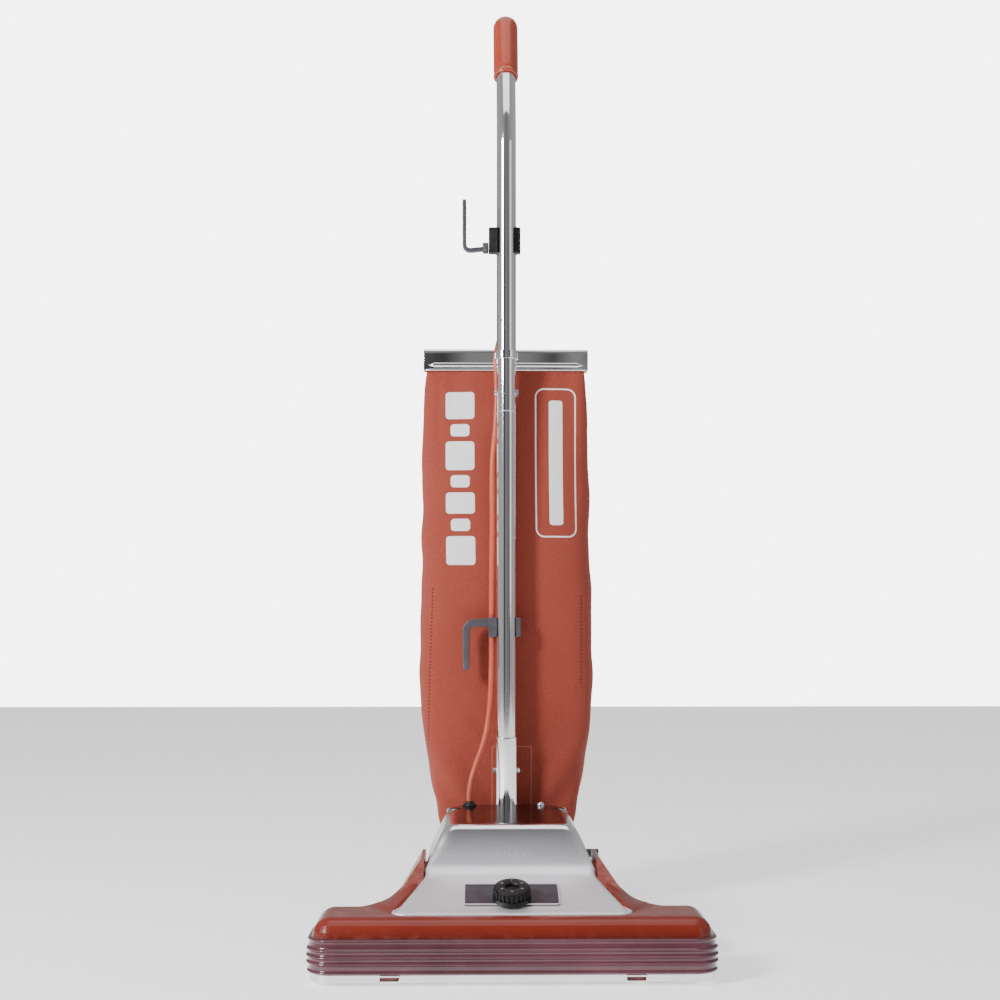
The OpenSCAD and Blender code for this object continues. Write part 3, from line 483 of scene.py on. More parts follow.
def bevel(piece, width, segments=2, angle=30):
    modifier = piece.modifiers.new("edge", "BEVEL")
    modifier.width = width
    modifier.segments = segments
    modifier.limit_method = "ANGLE"
    modifier.angle_limit = math.radians(angle)
    modifier.harden_normals = False


# ---------------------------------------------------------------- camera

LENS, SENSOR_WIDTH = 53.06, 36
CAMERA_PLACE = (-0.0414, -1.82, 0.385)
CAMERA_TURN = math.radians(-0.98)
# The camera is level, and the view is shifted up to take in the whole handle
VIEW_SHIFT = 0.129

camera_data = bpy.data.cameras.new("camera")
camera_data.lens = LENS
camera_data.sensor_width = SENSOR_WIDTH
camera_data.shift_y = VIEW_SHIFT
camera = bpy.data.objects.new("camera", camera_data)
camera.location = CAMERA_PLACE
camera.rotation_euler = (math.radians(90), 0, CAMERA_TURN)
bpy.context.scene.collection.objects.link(camera)
bpy.context.scene.camera = camera


# ---------------------------------------------------------------- cord

CORD_D = 0.008
cord_route = [
    (-48, 92, 150), (-48, 92, 166), (-47.5, 92.5, 178), (-44.5, 95, 194), (-38.5, 101, 212), (-31, 108, 232),
    (-25, 115, 257), (-20.5, 120, 296), (-19, 121, 350), (-19, 121, 430), (-18, 119, 520),
    (-18, 120, 600), (-14, 127, 650), (-12, 131, 695), (-13, 131, 738), (-11, 136.4, 759),
    (-7, 151, 773.6), (-5, 171, 779), (-6, 191, 773.6), (-9, 205.6, 759), (-12, 211, 739),
    (-13, 213, 700), (-13, 219, 655), (-13, 231, 605), (-13, 244, 545), (-12, 249, 460),
    (-10, 249, 340), (-7, 251, 220), (-4, 254, 145), (-1, 258, 90), (6, 262, 50),
    (22, 267, 21), (48, 268, 6), (77, 261, 4), (103, 240, 4), (117, 205, 4),
    (118, 150, 4), (106, 90, 4), (98, 20, 4), (97, -20, 4), (97, -58, 4),
]
tail_route = [
    (231, -58, 28), (231.5, -38, 28), (229, -17, 24), (221.5, 2, 17), (209.5, 17, 13),
    (194.5, 26.5, 13), (178, 31, 13),
]
COIL_X, COIL_Y = 0.164, -0.058
COIL_LAYERS, COIL_TURNS = 4, 4
COIL_INNER = 0.035


def coil_path():
    """Flat spirals on top of each other, wound in and out by turns, with a short climb between them."""
    outer = COIL_INNER + COIL_TURNS * CORD_D
    steps = 36
    rise = steps // 6
    out = []
    turned = 0
    for layer in range(COIL_LAYERS):
        start, end = (outer, COIL_INNER) if layer % 2 == 0 else (COIL_INNER, outer)
        total = steps * COIL_TURNS
        low = CORD_D * (layer + 0.5)
        stations = [(start + (end - start) * k / total, low) for k in range(total)]
        if layer < COIL_LAYERS - 1:
            stations += [(end, low + CORD_D * (1 - math.cos(math.pi * k / rise)) / 2) for k in range(rise)]
        else:
            stations.append((end, low))
        for r, z in stations:
            angle = math.pi + 2 * math.pi * turned / steps
            out.append(Vector((COIL_X + r * math.cos(angle), COIL_Y + r * math.sin(angle), z)))
            turned += 1
    return out


route = smooth_path([[c * MM for c in p] for p in cord_route], 6)
wound = coil_path()
tail = smooth_path([[c * MM for c in p] for p in tail_route], 6)
cord_path = route + wound[1:-1] + tail
verts, faces = skin_rings(tube_rings(cord_path, CORD_D / 2, 12))
cord = new_mesh("mains_cord", verts, faces, "cord_jacket")
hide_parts("cord_run", "cord_coil")

# Plug: a moulded body with finger ribs and a tapered sleeve on the cord
PLUG_X, PLUG_Y, PLUG_Z = 0.178, 0.031, 0.013
plug_profile = [(0.0001, -0.001), (0.0046, -0.001), (0.0048, 0.002), (0.0056, 0.0025), (0.0056, 0.004),
                (0.0062, 0.0045), (0.0064, 0.0065), (0.0072, 0.007), (0.0074, 0.009), (0.0092, 0.0105),
                (0.0112, 0.0125), (0.0118, 0.015), (0.0112, 0.017), (0.0112, 0.018), (0.0118, 0.0195),
                (0.0118, 0.021), (0.0112, 0.0225), (0.0112, 0.0235), (0.0122, 0.026), (0.0128, 0.030),
                (0.0128, 0.0345), (0.0122, 0.036), (0.0001, 0.036)]
plug_place = Matrix.Translation((PLUG_X, PLUG_Y, PLUG_Z)) @ Matrix.Rotation(math.radians(-90), 4, "Y")
plug = lathe("plug_moulding", plug_profile, "plug_body", "base", plug_place, 48)
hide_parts("cord_plug")

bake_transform(cord)


# ---------------------------------------------------------------- bag

def superellipse(count, half_x, half_d, power):
    """Points (across, deep) of a rounded box, from the middle of the front around to it again."""
    points = []
    for k in range(count):
        a = 2 * math.pi * k / count
        s, c = math.sin(a), math.cos(a)
        points.append((half_x * math.copysign(abs(s) ** (2 / power), s),
                       -half_d * math.copysign(abs(c) ** (2 / power), c)))
    return points


# Height, half width, front and back of the hanging bag
BAG_SECTIONS = [
    (0.7500, 0.1035, 0.1470, 0.1530), (0.7290, 0.1050, 0.1465, 0.1540), (0.7150, 0.1068, 0.1450, 0.1600),
    (0.6900, 0.1085, 0.1425, 0.1740), (0.6600, 0.1095, 0.1400, 0.1900), (0.6200, 0.1105, 0.1385, 0.2080),
    (0.5800, 0.1115, 0.1375, 0.2210), (0.5300, 0.1125, 0.1365, 0.2310), (0.4700, 0.1133, 0.1360, 0.2370),
    (0.4100, 0.1140, 0.1360, 0.2395), (0.3600, 0.1150, 0.1362, 0.2400), (0.3150, 0.1165, 0.1368, 0.2400),
    (0.2850, 0.1155, 0.1372, 0.2395), (0.2600, 0.1130, 0.1380, 0.2390), (0.2340, 0.1095, 0.1392, 0.2370),
    (0.2070, 0.1050, 0.1405, 0.2340), (0.1800, 0.1005, 0.1420, 0.2300), (0.1530, 0.0960, 0.1445, 0.2240),
    (0.1260, 0.0900, 0.1480, 0.2160), (0.1000, 0.0780, 0.1530, 0.2060),
]
# Middle, half width, half depth and turn of the sleeve as it curves into the exhaust port
SLEEVE_SECTIONS = [
    (0.1795, 0.0790, 0.0560, 0.0225, 12), (0.1790, 0.0620, 0.0400, 0.0215, 35),
    (0.1745, 0.0480, 0.0290, 0.0220, 62), (0.1680, 0.0415, 0.0236, 0.0226, 84),
    (0.1600, 0.0410, 0.0228, 0.0228, 90), (0.1540, 0.0410, 0.0226, 0.0226, 90),
]
BAG_AROUND = 160
BAG_POWER = 4.2


def spline(values, t):
    """Catmull-Rom value at t in 0 .. len(values) - 1."""
    last = len(values) - 1
    i = min(int(t), last - 1)
    f = t - i
    p, q, r, s = (values[min(max(i + d, 0), last)] for d in (-1, 0, 1, 2))
    cubic = 3 * q - p - 3 * r + s
    return 0.5 * (2 * q + (r - p) * f + (2 * p - 5 * q + 4 * r - s) * f * f + cubic * f ** 3)


def bag_rings(per_section):
    sections = []
    for z, half, front, back in BAG_SECTIONS:
        sections.append(((front + back) / 2, z, half, (back - front) / 2, 0.0))
    sections += SLEEVE_SECTIONS
    total = (len(sections) - 1) * per_section
    rings = []
    for step in range(total + 1):
        t = step / per_section
        y, z, half_x, half_d, turn = (spline([row[i] for row in sections], t) for i in range(5))
        turn = math.radians(turn)
        deep = Vector((0, math.cos(turn), -math.sin(turn)))
        round_end = min(1.0, max(0.0, (t - len(BAG_SECTIONS) + 2) / 4))
        power = BAG_POWER + (2.0 - BAG_POWER) * round_end
        drift = 0.0016 * step_up(0.10, 0.30, 0.73 - z)
        rings.append([Vector((x * (1 - drift * 8) + drift, y, z)) + deep * d
                      for x, d in superellipse(BAG_AROUND, half_x, half_d, power)])
    return rings


def step_up(low, high, value):
    t = min(1.0, max(0.0, (value - low) / (high - low)))
    return t * t * (3 - 2 * t)


def cloth_fold(point, across):
    """How far the hanging cloth stands out at a point, in metres."""
    x, y, z = point
    sway = 0.0034 * noise.noise(Vector((x * 14, y * 14, z * 5 + 3.1)))
    top = 1 - step_up(0.02, 0.16, 0.729 - z)
    pleat = 0.0016 * top * noise.noise(Vector((x * 75, 1.7, z * 6)))
    low = (1 - step_up(0.13, 0.34, z)) * step_up(0.05, 0.12, z)
    drag = 0.0048 * low * noise.noise(Vector((abs(x) * 34 - z * 26, y * 22, z * 10 + 7.3)))
    side = step_up(0.085, 0.112, abs(x)) * step_up(0.12, 0.3, z) * (1 - step_up(0.62, 0.72, z))
    ripple = 0.0030 * side * noise.noise(Vector((5.3 * across, y * 9, z * 24)))
    return sway + pleat + drag + ripple


# Above and below these heights the clamp and the port hold the cloth flat
CLOTH_HELD_LOW, CLOTH_HELD_HIGH = 0.062, 0.728


def make_bag():
    rings = bag_rings(7)
    verts, faces = skin_rings(rings, caps=False)
    piece = new_mesh("dust_bag", verts, faces, "bag_cloth")
    data = piece.data
    normals = [v.normal.copy() for v in data.vertices]
    for vertex, normal in zip(data.vertices, normals):
        if normal.length < 0.5:
            continue
        out = cloth_fold(vertex.co, math.copysign(1, vertex.co.x))
        if not CLOTH_HELD_LOW <= vertex.co.z <= CLOTH_HELD_HIGH:
            out = 0.0
        vertex.co += normal * out
    # Cloth coordinates: distance around from the middle of the front, and height
    layer = data.uv_layers.new(name="weave")
    girth = []
    for ring in rings:
        run = [0.0]
        for k in range(BAG_AROUND):
            run.append(run[-1] + (ring[(k + 1) % BAG_AROUND] - ring[k]).length)
        girth.append(run)
    for polygon in data.polygons:
        ks = [data.loops[i].vertex_index % BAG_AROUND for i in polygon.loop_indices]
        wraps = max(ks) - min(ks) > 1
        for i in polygon.loop_indices:
            index = data.loops[i].vertex_index
            row, k = divmod(index, BAG_AROUND)
            if wraps and k == 0:
                k = BAG_AROUND
            around = girth[row][k]
            if k > BAG_AROUND / 2:
                around -= girth[row][-1]
            layer.data[i].uv = (around, data.vertices[index].co.z)
    return piece


def cut_size(rings):
    """Widest girth, length along the middle and area of the cloth in a tube of rings."""
    girths = [sum((ring[(k + 1) % BAG_AROUND] - ring[k]).length for k in range(BAG_AROUND)) for ring in rings]
    middles = [sum(ring, Vector((0, 0, 0))) / BAG_AROUND for ring in rings]
    steps = [(b - a).length for a, b in zip(middles, middles[1:])]
    area = sum(step * (a + b) / 2 for step, a, b in zip(steps, girths, girths[1:]))
    return max(girths), sum(steps), area


bag = make_bag()
shell = bag.modifiers.new("thickness", "SOLIDIFY")
shell.thickness = 0.0016
shell.offset = -1
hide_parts("bag", "bag_neck")
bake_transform(bag)
cut_width, cut_length, cut_area = cut_size(bag_rings(7))


# ---------------------------------------------------------------- bag clamp

def swept_profile(name, profile, x_low, x_high, finish, body, stations=2):
    """Closed (y, z) profile drawn along X."""
    rings = []
    for i in range(stations):
        x = x_low + (x_high - x_low) * i / (stations - 1)
        rings.append([Vector((x, y, z)) for y, z in profile])
    verts, faces = skin_rings(rings)
    return new_mesh(name, verts, faces, finish, body)


clamp_low, clamp_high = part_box("bag_clamp")
CLAMP_FRONT, CLAMP_BACK = clamp_low.y, clamp_high.y
wall = 0.0016
outer = rounded([(CLAMP_FRONT, clamp_low.z), (CLAMP_FRONT, clamp_high.z - 0.012), (CLAMP_FRONT, clamp_high.z),
                 (CLAMP_BACK, clamp_high.z), (CLAMP_BACK, clamp_high.z - 0.012), (CLAMP_BACK, clamp_low.z)],
                [0.004, 0.0055, 0.0055, 0.004], 7)
outer = [(0.0, p.x, p.y) for p in outer]
inner = rounded([(CLAMP_FRONT + wall, clamp_low.z), (CLAMP_FRONT + wall, clamp_high.z - 0.012),
                 (CLAMP_FRONT + wall, clamp_high.z - wall), (CLAMP_BACK - wall, clamp_high.z - wall),
                 (CLAMP_BACK - wall, clamp_high.z - 0.012), (CLAMP_BACK - wall, clamp_low.z)],
                [0.003, 0.0042, 0.0042, 0.003], 7)
channel = [(y, z) for _, y, z in outer] + [(p.x, p.y) for p in reversed(inner)]
clamp = swept_profile("bag_clamp_channel", channel, clamp_low.x, clamp_high.x, "bright_metal", "clamp")
bevel(clamp, 0.0004, 2, 50)
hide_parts("bag_clamp")

# Embossed bead along the front of the clamp and a rolled lower edge
bead_z = clamp_low.z + 0.0075
for name, z, inset, r in (("clamp_bead", bead_z, 0.006, 0.0030),
                          ("clamp_hem", clamp_low.z + 0.0012, 0.0, 0.0012)):
    ends = [clamp_low.x + inset, clamp_high.x - inset]
    path = [Vector((ends[0] + (ends[1] - ends[0]) * i / 24, CLAMP_FRONT + 0.0004, z)) for i in range(25)]
    radii = [r * min(1.0, 0.25 + 0.75 * min(i, 24 - i) / 1.0) for i in range(25)]
    verts, faces = skin_rings(tube_rings(path, radii, 16))
    piece = new_mesh(name, [(x, CLAMP_FRONT + (y - CLAMP_FRONT) * 0.5, z) for x, y, z in verts], faces,
                     "bright_metal", "clamp")


# ---------------------------------------------------------------- bumper

def nozzle_outline(grow, steps=10):
    """Front and side outline of the nozzle, open at the back, seen from above."""
    half, front, back = 0.219 + grow, -0.234 - grow, -0.165
    reach = 0.022 + grow
    points = [(-half, back), (-half, (back + front) / 2)]
    for k in range(steps + 1):
        a = math.pi / 2 * k / steps
        points.append((-half + reach - reach * math.cos(a), front + reach - reach * math.sin(a)))
    count = 24
    for k in range(1, count):
        points.append((-half + reach + (2 * half - 2 * reach) * k / count, front))
    points += [(-x, y) for x, y in reversed(points[:steps + 3])]
    return points


BUMPER_LOW, BUMPER_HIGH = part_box("bumper")[0].z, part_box("bumper")[1].z


def bumper_profile():
    """(grow, z) pairs: a face with soft ridges, closed behind."""
    out = []
    count = 110
    ridges = (0.06, 0.31, 0.50, 0.70, 0.975)
    for k in range(count + 1):
        t = k / count
        swell = sum(math.exp(-((t - c) / 0.042) ** 2) for c in ridges)
        belly = 0.0040 * (1 - (2 * t - 0.85) ** 2 * 0.42)
        out.append((belly + 0.0022 * min(1.0, swell), BUMPER_LOW + (BUMPER_HIGH - BUMPER_LOW) * t))
    return [(0.0, BUMPER_LOW + 0.0002)] + out + [(0.0, BUMPER_HIGH + 0.0006)]


rings = [[Vector((x, y, z)) for x, y in nozzle_outline(grow)] for grow, z in bumper_profile()]
verts, faces = skin_rings(rings, closed=False, caps=False)
bumper = new_mesh("bumper_band", verts, [tuple(reversed(f)) for f in faces], "bumper_rubber", "base")
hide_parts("bumper")


# ---------------------------------------------------------------- hood

HOOD_WALL = 0.0016
RIM_CORNER = 0.012


def hood_profile():
    """Height of the hood along y: apron, concave bend, sloping front, crisp bend, flat top."""
    return rounded([(-0.2015, 0.0715), (-0.111, 0.103), (-0.0845, 0.1555), (-0.040, 0.156), (0.103, 0.156)],
                   [0.016, 0.010, 0.010], 8)


def hood_section(y, z):
    """Left half of the hood's section at y, from its lower edge to its middle."""
    body = step_up(0.103, 0.106, z)
    if y < -0.111:
        t = (y + 0.2015) / 0.0905
        low_half = 0.1315 - 0.0315 * t ** 1.05
        front = y + 0.2015
        if front < RIM_CORNER:
            low_half -= RIM_CORNER - math.sqrt(RIM_CORNER ** 2 - (RIM_CORNER - front) ** 2)
        low = 0.0685 + 0.008 * t
        points = [(-low_half, low), (-low_half + 0.0015, z), (0.0, z)]
        radii = [0.009]
    else:
        top_half = 0.100 - 0.024 * (z - 0.103) / 0.053
        low = 0.1405 if y > 0.060 else 0.0766
        if y > 0.067:
            top_half = min(top_half, 0.040 + math.sqrt(max(0.0, 0.036 ** 2 - (y - 0.067) ** 2)))
        if low > 0.14:
            points = [(-top_half - 0.0030, low), (-top_half, z), (0.0, z)]
            radii = [0.014]
        else:
            points = [(-0.0985, low), (-0.1000, 0.1025), (-top_half, z), (0.0, z)]
            radii = [0.006, 0.016 * max(0.35, body)]
    return rounded([(a, b, 0) for a, b in points], radii, 8), len(points)


def hood_stations():
    profile = [(p.x, p.y) for p in hood_profile()]
    out = []
    for (y0, z0), (y1, z1) in zip(profile, profile[1:]):
        gap = math.hypot(y1 - y0, z1 - z0)
        count = max(1, round(gap / 0.004))
        for k in range(count):
            out.append((y0 + (y1 - y0) * k / count, z0 + (z1 - z0) * k / count))
    out.append(profile[-1])
    return out


def resampled(points, count):
    run = [0.0]
    for a, b in zip(points, points[1:]):
        run.append(run[-1] + (b - a).length)
    out = []
    for k in range(count):
        want = run[-1] * k / (count - 1)
        i = max(j for j in range(len(run)) if run[j] <= want + 1e-12)
        if i == len(points) - 1:
            out.append(points[-1].copy())
        else:
            t = (want - run[i]) / (run[i + 1] - run[i])
            out.append(points[i].lerp(points[i + 1], t))
    return out


def make_hood():
    rings = []
    for y, z in hood_stations():
        half, _ = hood_section(y, z)
        half = resampled(half, 46)
        ring = [Vector((p.x, y, p.y)) for p in half] + [Vector((-p.x, y, p.y)) for p in reversed(half[:-1])]
        rings.append(ring)
    verts, faces = skin_rings(rings, closed=False, caps=False)
    piece = new_mesh("hood_shell", verts, faces, "hood_aluminium", "base")
    wall = piece.modifiers.new("wall", "SOLIDIFY")
    wall.thickness = HOOD_WALL
    wall.offset = -1
    return piece


hood = make_hood()
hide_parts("hood")

# Rolled bead along the front rim and back along both sides of the apron
rim = [(-0.1000, -0.112, 0.0795), (-0.1095, -0.140, 0.0765), (-0.1205, -0.168, 0.0738),
       (-0.1300, -0.190, 0.0720),
       (-0.1285, -0.1985, 0.0713), (-0.1205, -0.2035, 0.0709), (-0.105, -0.2045, 0.0708),
       (0.0, -0.2045, 0.0708)]
rim = rim + [(-x, y, z) for x, y, z in reversed(rim[:-1])]
verts, faces = skin_rings(tube_rings(smooth_path(rim, 10), 0.0026, 14))
bead = new_mesh("hood_rim_bead", verts, faces, "hood_aluminium", "base")


# ---------------------------------------------------------------- casting cheeks

# Along the hood's edge from the top to the front rim, and along the ridge behind it
CHEEK_EDGE = [(0.0925, -0.100, 0.1120), (0.1000, -0.108, 0.1005), (0.1080, -0.131, 0.0925),
              (0.1170, -0.156, 0.0848),
              (0.1262, -0.180, 0.0775), (0.1340, -0.200, 0.0712), (0.1480, -0.208, 0.0700)]
CHEEK_RIDGE = [(0.0975, -0.092, 0.1135), (0.1040, -0.099, 0.1095), (0.1160, -0.111, 0.0985),
               (0.1290, -0.123, 0.0858),
               (0.1430, -0.134, 0.0768), (0.1640, -0.143, 0.0722), (0.1850, -0.150, 0.0704)]


def cheek_rings():
    """Closed sections from the hood's edge over the ridge and down behind it."""
    rings = []
    for edge, ridge in zip(smooth_path(CHEEK_EDGE, 8), smooth_path(CHEEK_RIDGE, 8)):
        ring = [Vector((edge.x, edge.y, 0.050))]
        bulge = 0.0008 * (ridge - edge).length / 0.03
        for k in range(10):
            t = k / 9
            point = edge.lerp(ridge, 0.92 * t)
            point.z += bulge * math.sin(math.pi * min(1.0, t * 0.9)) * (1 if edge.z > 0.073 else 0.3)
            ring.append(point)
        top = ring[-1]
        away = Vector((0.35, 0.94, 0))
        for k in range(1, 7):
            a = math.pi / 2 * k / 6
            ring.append(top + away * 0.005 * math.sin(a) - Vector((0, 0, 0.005 * (1 - math.cos(a)))))
        ring.append(Vector((ring[-1].x, ring[-1].y + 0.001, 0.050)))
        rings.append(ring)
    return rings


for side, name in ((1, "cheek_right"), (-1, "cheek_left")):
    rings = [[Vector((side * p.x, p.y, p.z)) for p in ring] for ring in cheek_rings()]
    verts, faces = skin_rings(rings)
    cheek = new_mesh(name, verts, faces, "red_casting", "base")


# ---------------------------------------------------------------- plate latch windows

def loop_bead(name, centre, half_x, half_z, radius, wire, finish, body):
    """Rounded rectangular loop of round wire in a plane that faces the front."""
    path = []
    for i, (sx, sz) in enumerate(((1, 1), (-1, 1), (-1, -1), (1, -1))):
        for k in range(7):
            a = math.pi / 2 * (i + k / 6)
            path.append(Vector((centre[0] + sx * (half_x - radius) + radius * math.cos(a), centre[1],
                                centre[2] + sz * (half_z - radius) + radius * math.sin(a))))
    rings = []
    count = len(path)
    for i, point in enumerate(path):
        ahead = (path[(i + 1) % count] - path[i - 1]).normalized()
        out = ahead.cross(Vector((0, 1, 0))).normalized()
        rings.append([point + wire * (math.cos(a) * out + math.sin(a) * Vector((0, 1, 0)))
                      for a in (2 * math.pi * k / 10 for k in range(10))])
    rings.append(rings[0])
    verts, faces = skin_rings(rings, caps=False)
    return new_mesh(name, verts, faces, finish, body)


plate_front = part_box("bottom_plate")[0].y
for side, name in ((-1, "left"), (1, "right")):
    window = loop_bead(f"latch_window_{name}", (side * 0.133, plate_front + 0.0002, 0.0092), 0.0112, 0.0030,
                       0.0018,
                       0.0009, "plate_steel", "base")
    tab_y = plate_front + 0.0016
    tab = [[Vector((side * 0.133 + x, y, z)) for x, z in ((-0.0105, 0.0068), (0.0105, 0.0068),
                                                          (0.0105, 0.0115),
                                                          (-0.0105, 0.0115))] for y in (tab_y,
                                                                                        tab_y + 0.0010)]
    verts, faces = skin_rings(tab)
    tab = new_mesh(f"latch_tab_{name}", verts, faces, "red_casting", "base", smooth=False)
    bevel(tab, 0.0002, 2)


# ---------------------------------------------------------------- nameplate

KNOB_Y = -0.173
PANEL_TILT = math.atan2(0.030, 0.089)
KNOB_Z = 0.073 + (KNOB_Y + 0.200) * math.tan(PANEL_TILT)
panel = Matrix.Translation((0, KNOB_Y, KNOB_Z)) @ Matrix.Rotation(PANEL_TILT, 4, "X")


def rounded_frame(name, half_x, half_y, width, z_low, z_high, finish, centre_y=0.0, radius=0.003):
    """Thin raised frame on the hood's front panel."""
    rings = []
    corners = [(1, 1), (-1, 1), (-1, -1), (1, -1)]
    for grow, z in ((0, z_low), (0, z_high), (-width, z_high), (-width, z_low)):
        ring = []
        for i, (sx, sy) in enumerate(corners):
            r = max(radius + grow, 0.0004)
            cx, cy = sx * (half_x + grow - r), sy * (half_y + grow - r)
            for k in range(7):
                a = math.pi / 2 * (i + k / 6)
                ring.append(panel @ Vector((cx + r * math.cos(a), centre_y + cy + r * math.sin(a), z)))
        rings.append(ring)
    rings.append(rings[0])
    verts, faces = skin_rings(rings, caps=False)
    return new_mesh(name, verts, faces, finish, "base", smooth=False)


frame_piece = rounded_frame("nameplate_frame", 0.0535, 0.0235, 0.0010, 0.0006, 0.0018, "hood_aluminium",
                            0.0116)
for slot_index in range(len(NODES["nameplate"].data.materials)):
    NODES["nameplate"].data.materials[slot_index] = FINISHES["plate_print"]


# ---------------------------------------------------------------- knob

knob_face = panel @ Matrix.Translation((0, 0, 0.002))
ring_profile = [(0.0075, 0.0136), (0.0080, 0.0148), (0.0095, 0.0157), (0.0150, 0.0157), (0.0180, 0.0150),
                (0.0192, 0.0136), (0.0193, 0.0120), (0.0075, 0.0120)]
rings = [[knob_face @ Vector((r * math.cos(a), r * math.sin(a), z))
          for a in (2 * math.pi * k / 72 for k in range(72))] for r, z in ring_profile + ring_profile[:1]]
verts, faces = skin_rings(rings, caps=False)
knob_cap = new_mesh("knob_dial", verts, faces, "black_plastic", "knob")

FINISHES["dial_marks"] = moulded("dial marks", (0.42, 0.41, 0.42), (0.58, 0.57, 0.58), (0.4, 0.55), 0.05, 800)
for index in range(6):
    curve = bpy.data.curves.new("dial_number", "FONT")
    curve.body = str(index + 1)
    curve.size = 0.0042
    curve.extrude = 0.00008
    curve.align_x = "CENTER"
    curve.align_y = "CENTER"
    text = bpy.data.objects.new("dial_text", curve)
    bpy.context.scene.collection.objects.link(text)
    bpy.context.view_layer.update()
    shape = bpy.data.meshes.new_from_object(text)
    bpy.data.objects.remove(text)
    angle = math.radians(90 - 60 * index)
    turn = knob_face @ Matrix.Rotation(angle, 4, "Z") @ Matrix.Translation((0.0128, 0, 0.01585)) \
        @ Matrix.Rotation(math.radians(-90), 4, "Z")
    shape.transform(turn)
    shape.materials.clear()
    shape.materials.append(FINISHES["dial_marks"])
    number = bpy.data.objects.new(f"dial_number_{index + 1}", shape)
    bpy.context.scene.collection.objects.link(number)
    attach(number, "knob")


# ---------------------------------------------------------------- grip

LEAN = math.radians(20)
grip_place = (Matrix.Translation((0, 0.112 + 0.120, 1.022)) @ Matrix.Rotation(-LEAN, 4, "X")
              @ Matrix.Translation((0, -0.120, 0.058)))
grip_profile = [(0.01295, 0.010), (0.01295, 0.0015), (0.0135, 0.0003), (0.0150, 0.0), (0.0161, 0.0006),
                (0.0166, 0.0020),
                (0.0165, 0.0040), (0.0158, 0.0054), (0.0156, 0.0066), (0.0159, 0.0080), (0.0163, 0.0110),
                (0.0164, 0.0200), (0.0165, 0.0500), (0.0165, 0.0740)]
for k in range(1, 15):
    a = math.pi / 2 * k / 14
    grip_profile.append((max(0.0001, 0.0165 * math.cos(a) ** 0.82), 0.0810 + 0.015 * math.sin(a) ** 1.05))
rings = []
for r, z in grip_profile:
    ring = []
    for k in range(96):
        a = 2 * math.pi * k / 96
        seam = 0.00035 * math.exp(-((math.remainder(a - math.pi / 2, math.pi)) / 0.045) ** 2)
        radius = r + (seam if 0.007 < z < 0.0945 else 0.0)
        ring.append(grip_place @ Vector((radius * math.cos(a), radius * math.sin(a), z)))
    rings.append(ring)
verts, faces = skin_rings(rings)
grip = new_mesh("grip_moulding", verts, faces, "grip_vinyl", "handle")
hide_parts("hand_grip")


# ---------------------------------------------------------------- handle details

TUBE_Y = 0.112


def bead_ring(name, z, radius, thick, finish="bright_metal"):
    profile = [(radius + thick * math.cos(a), z + thick * math.sin(a))
               for a in (math.pi * k / 8 - math.pi / 2 for k in range(9))]
    profile = [(radius - thick, z - thick)] + profile + [(radius - thick, z + thick)]
    piece = lathe(name, profile, finish, "handle", Matrix.Translation((0, TUBE_Y, 0)), 72)
    return piece


bead_ring("tube_joint_bead", 0.6695, 0.0128, 0.0006)
bead_ring("socket_bead", 0.2430, 0.0146, 0.0008)


def rounded_bar(name, path, wide, thick, finish, body, across, corner_radius=0.0012):
    """Bar with a rounded rectangular section swept along a path in a plane. Across is the plane's normal."""
    across = Vector(across)
    rings = []
    for i, point in enumerate(path):
        half = (thick[i] if isinstance(thick, list) else thick) / 2
        section = rounded([(-wide / 2, 0), (-wide / 2, half), (wide / 2, half), (wide / 2, -half),
                           (-wide / 2, -half), (-wide / 2, 0)], [corner_radius] * 4, 4)
        section = [(p.x, p.y) for p in section[:-1]]
        ahead = (path[min(i + 1, len(path) - 1)] - path[max(i - 1, 0)]).normalized()
        out = across.cross(ahead).normalized()
        rings.append([point + across * a + out * b for a, b in section])
    verts, faces = skin_rings(rings)
    piece = new_mesh(name, verts, faces, finish, body)
    bevel(piece, 0.0007, 3, 40)
    return piece


def bent(points, radii):
    return [Vector(p) for p in rounded(points, radii, 10)]


lower_low, lower_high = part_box("lower_cord_hook")
ARM_Z = lower_high.z - 0.0065
hook_x, block_x = lower_low.x + 0.0043, -0.0125
hook_path = bent([(block_x, TUBE_Y, ARM_Z), (hook_x, TUBE_Y, ARM_Z - 0.001),
                  (hook_x, TUBE_Y, lower_low.z + 0.0005)], [0.012])


def hook_widths(path, thick_end, thin_end):
    """Widths along a path, from its thick root to its thin tip."""
    run = [0.0]
    for a, b in zip(path, path[1:]):
        run.append(run[-1] + (b - a).length)
    return [thick_end + (thin_end - thick_end) * min(1.0, 1.4 * r / run[-1]) for r in run]


hook_bar = rounded_bar("lower_hook_bar", hook_path, 0.0080, hook_widths(hook_path, 0.0125, 0.0082),
                       "grey_plastic",
                       "handle", (0, 1, 0), 0.0018)


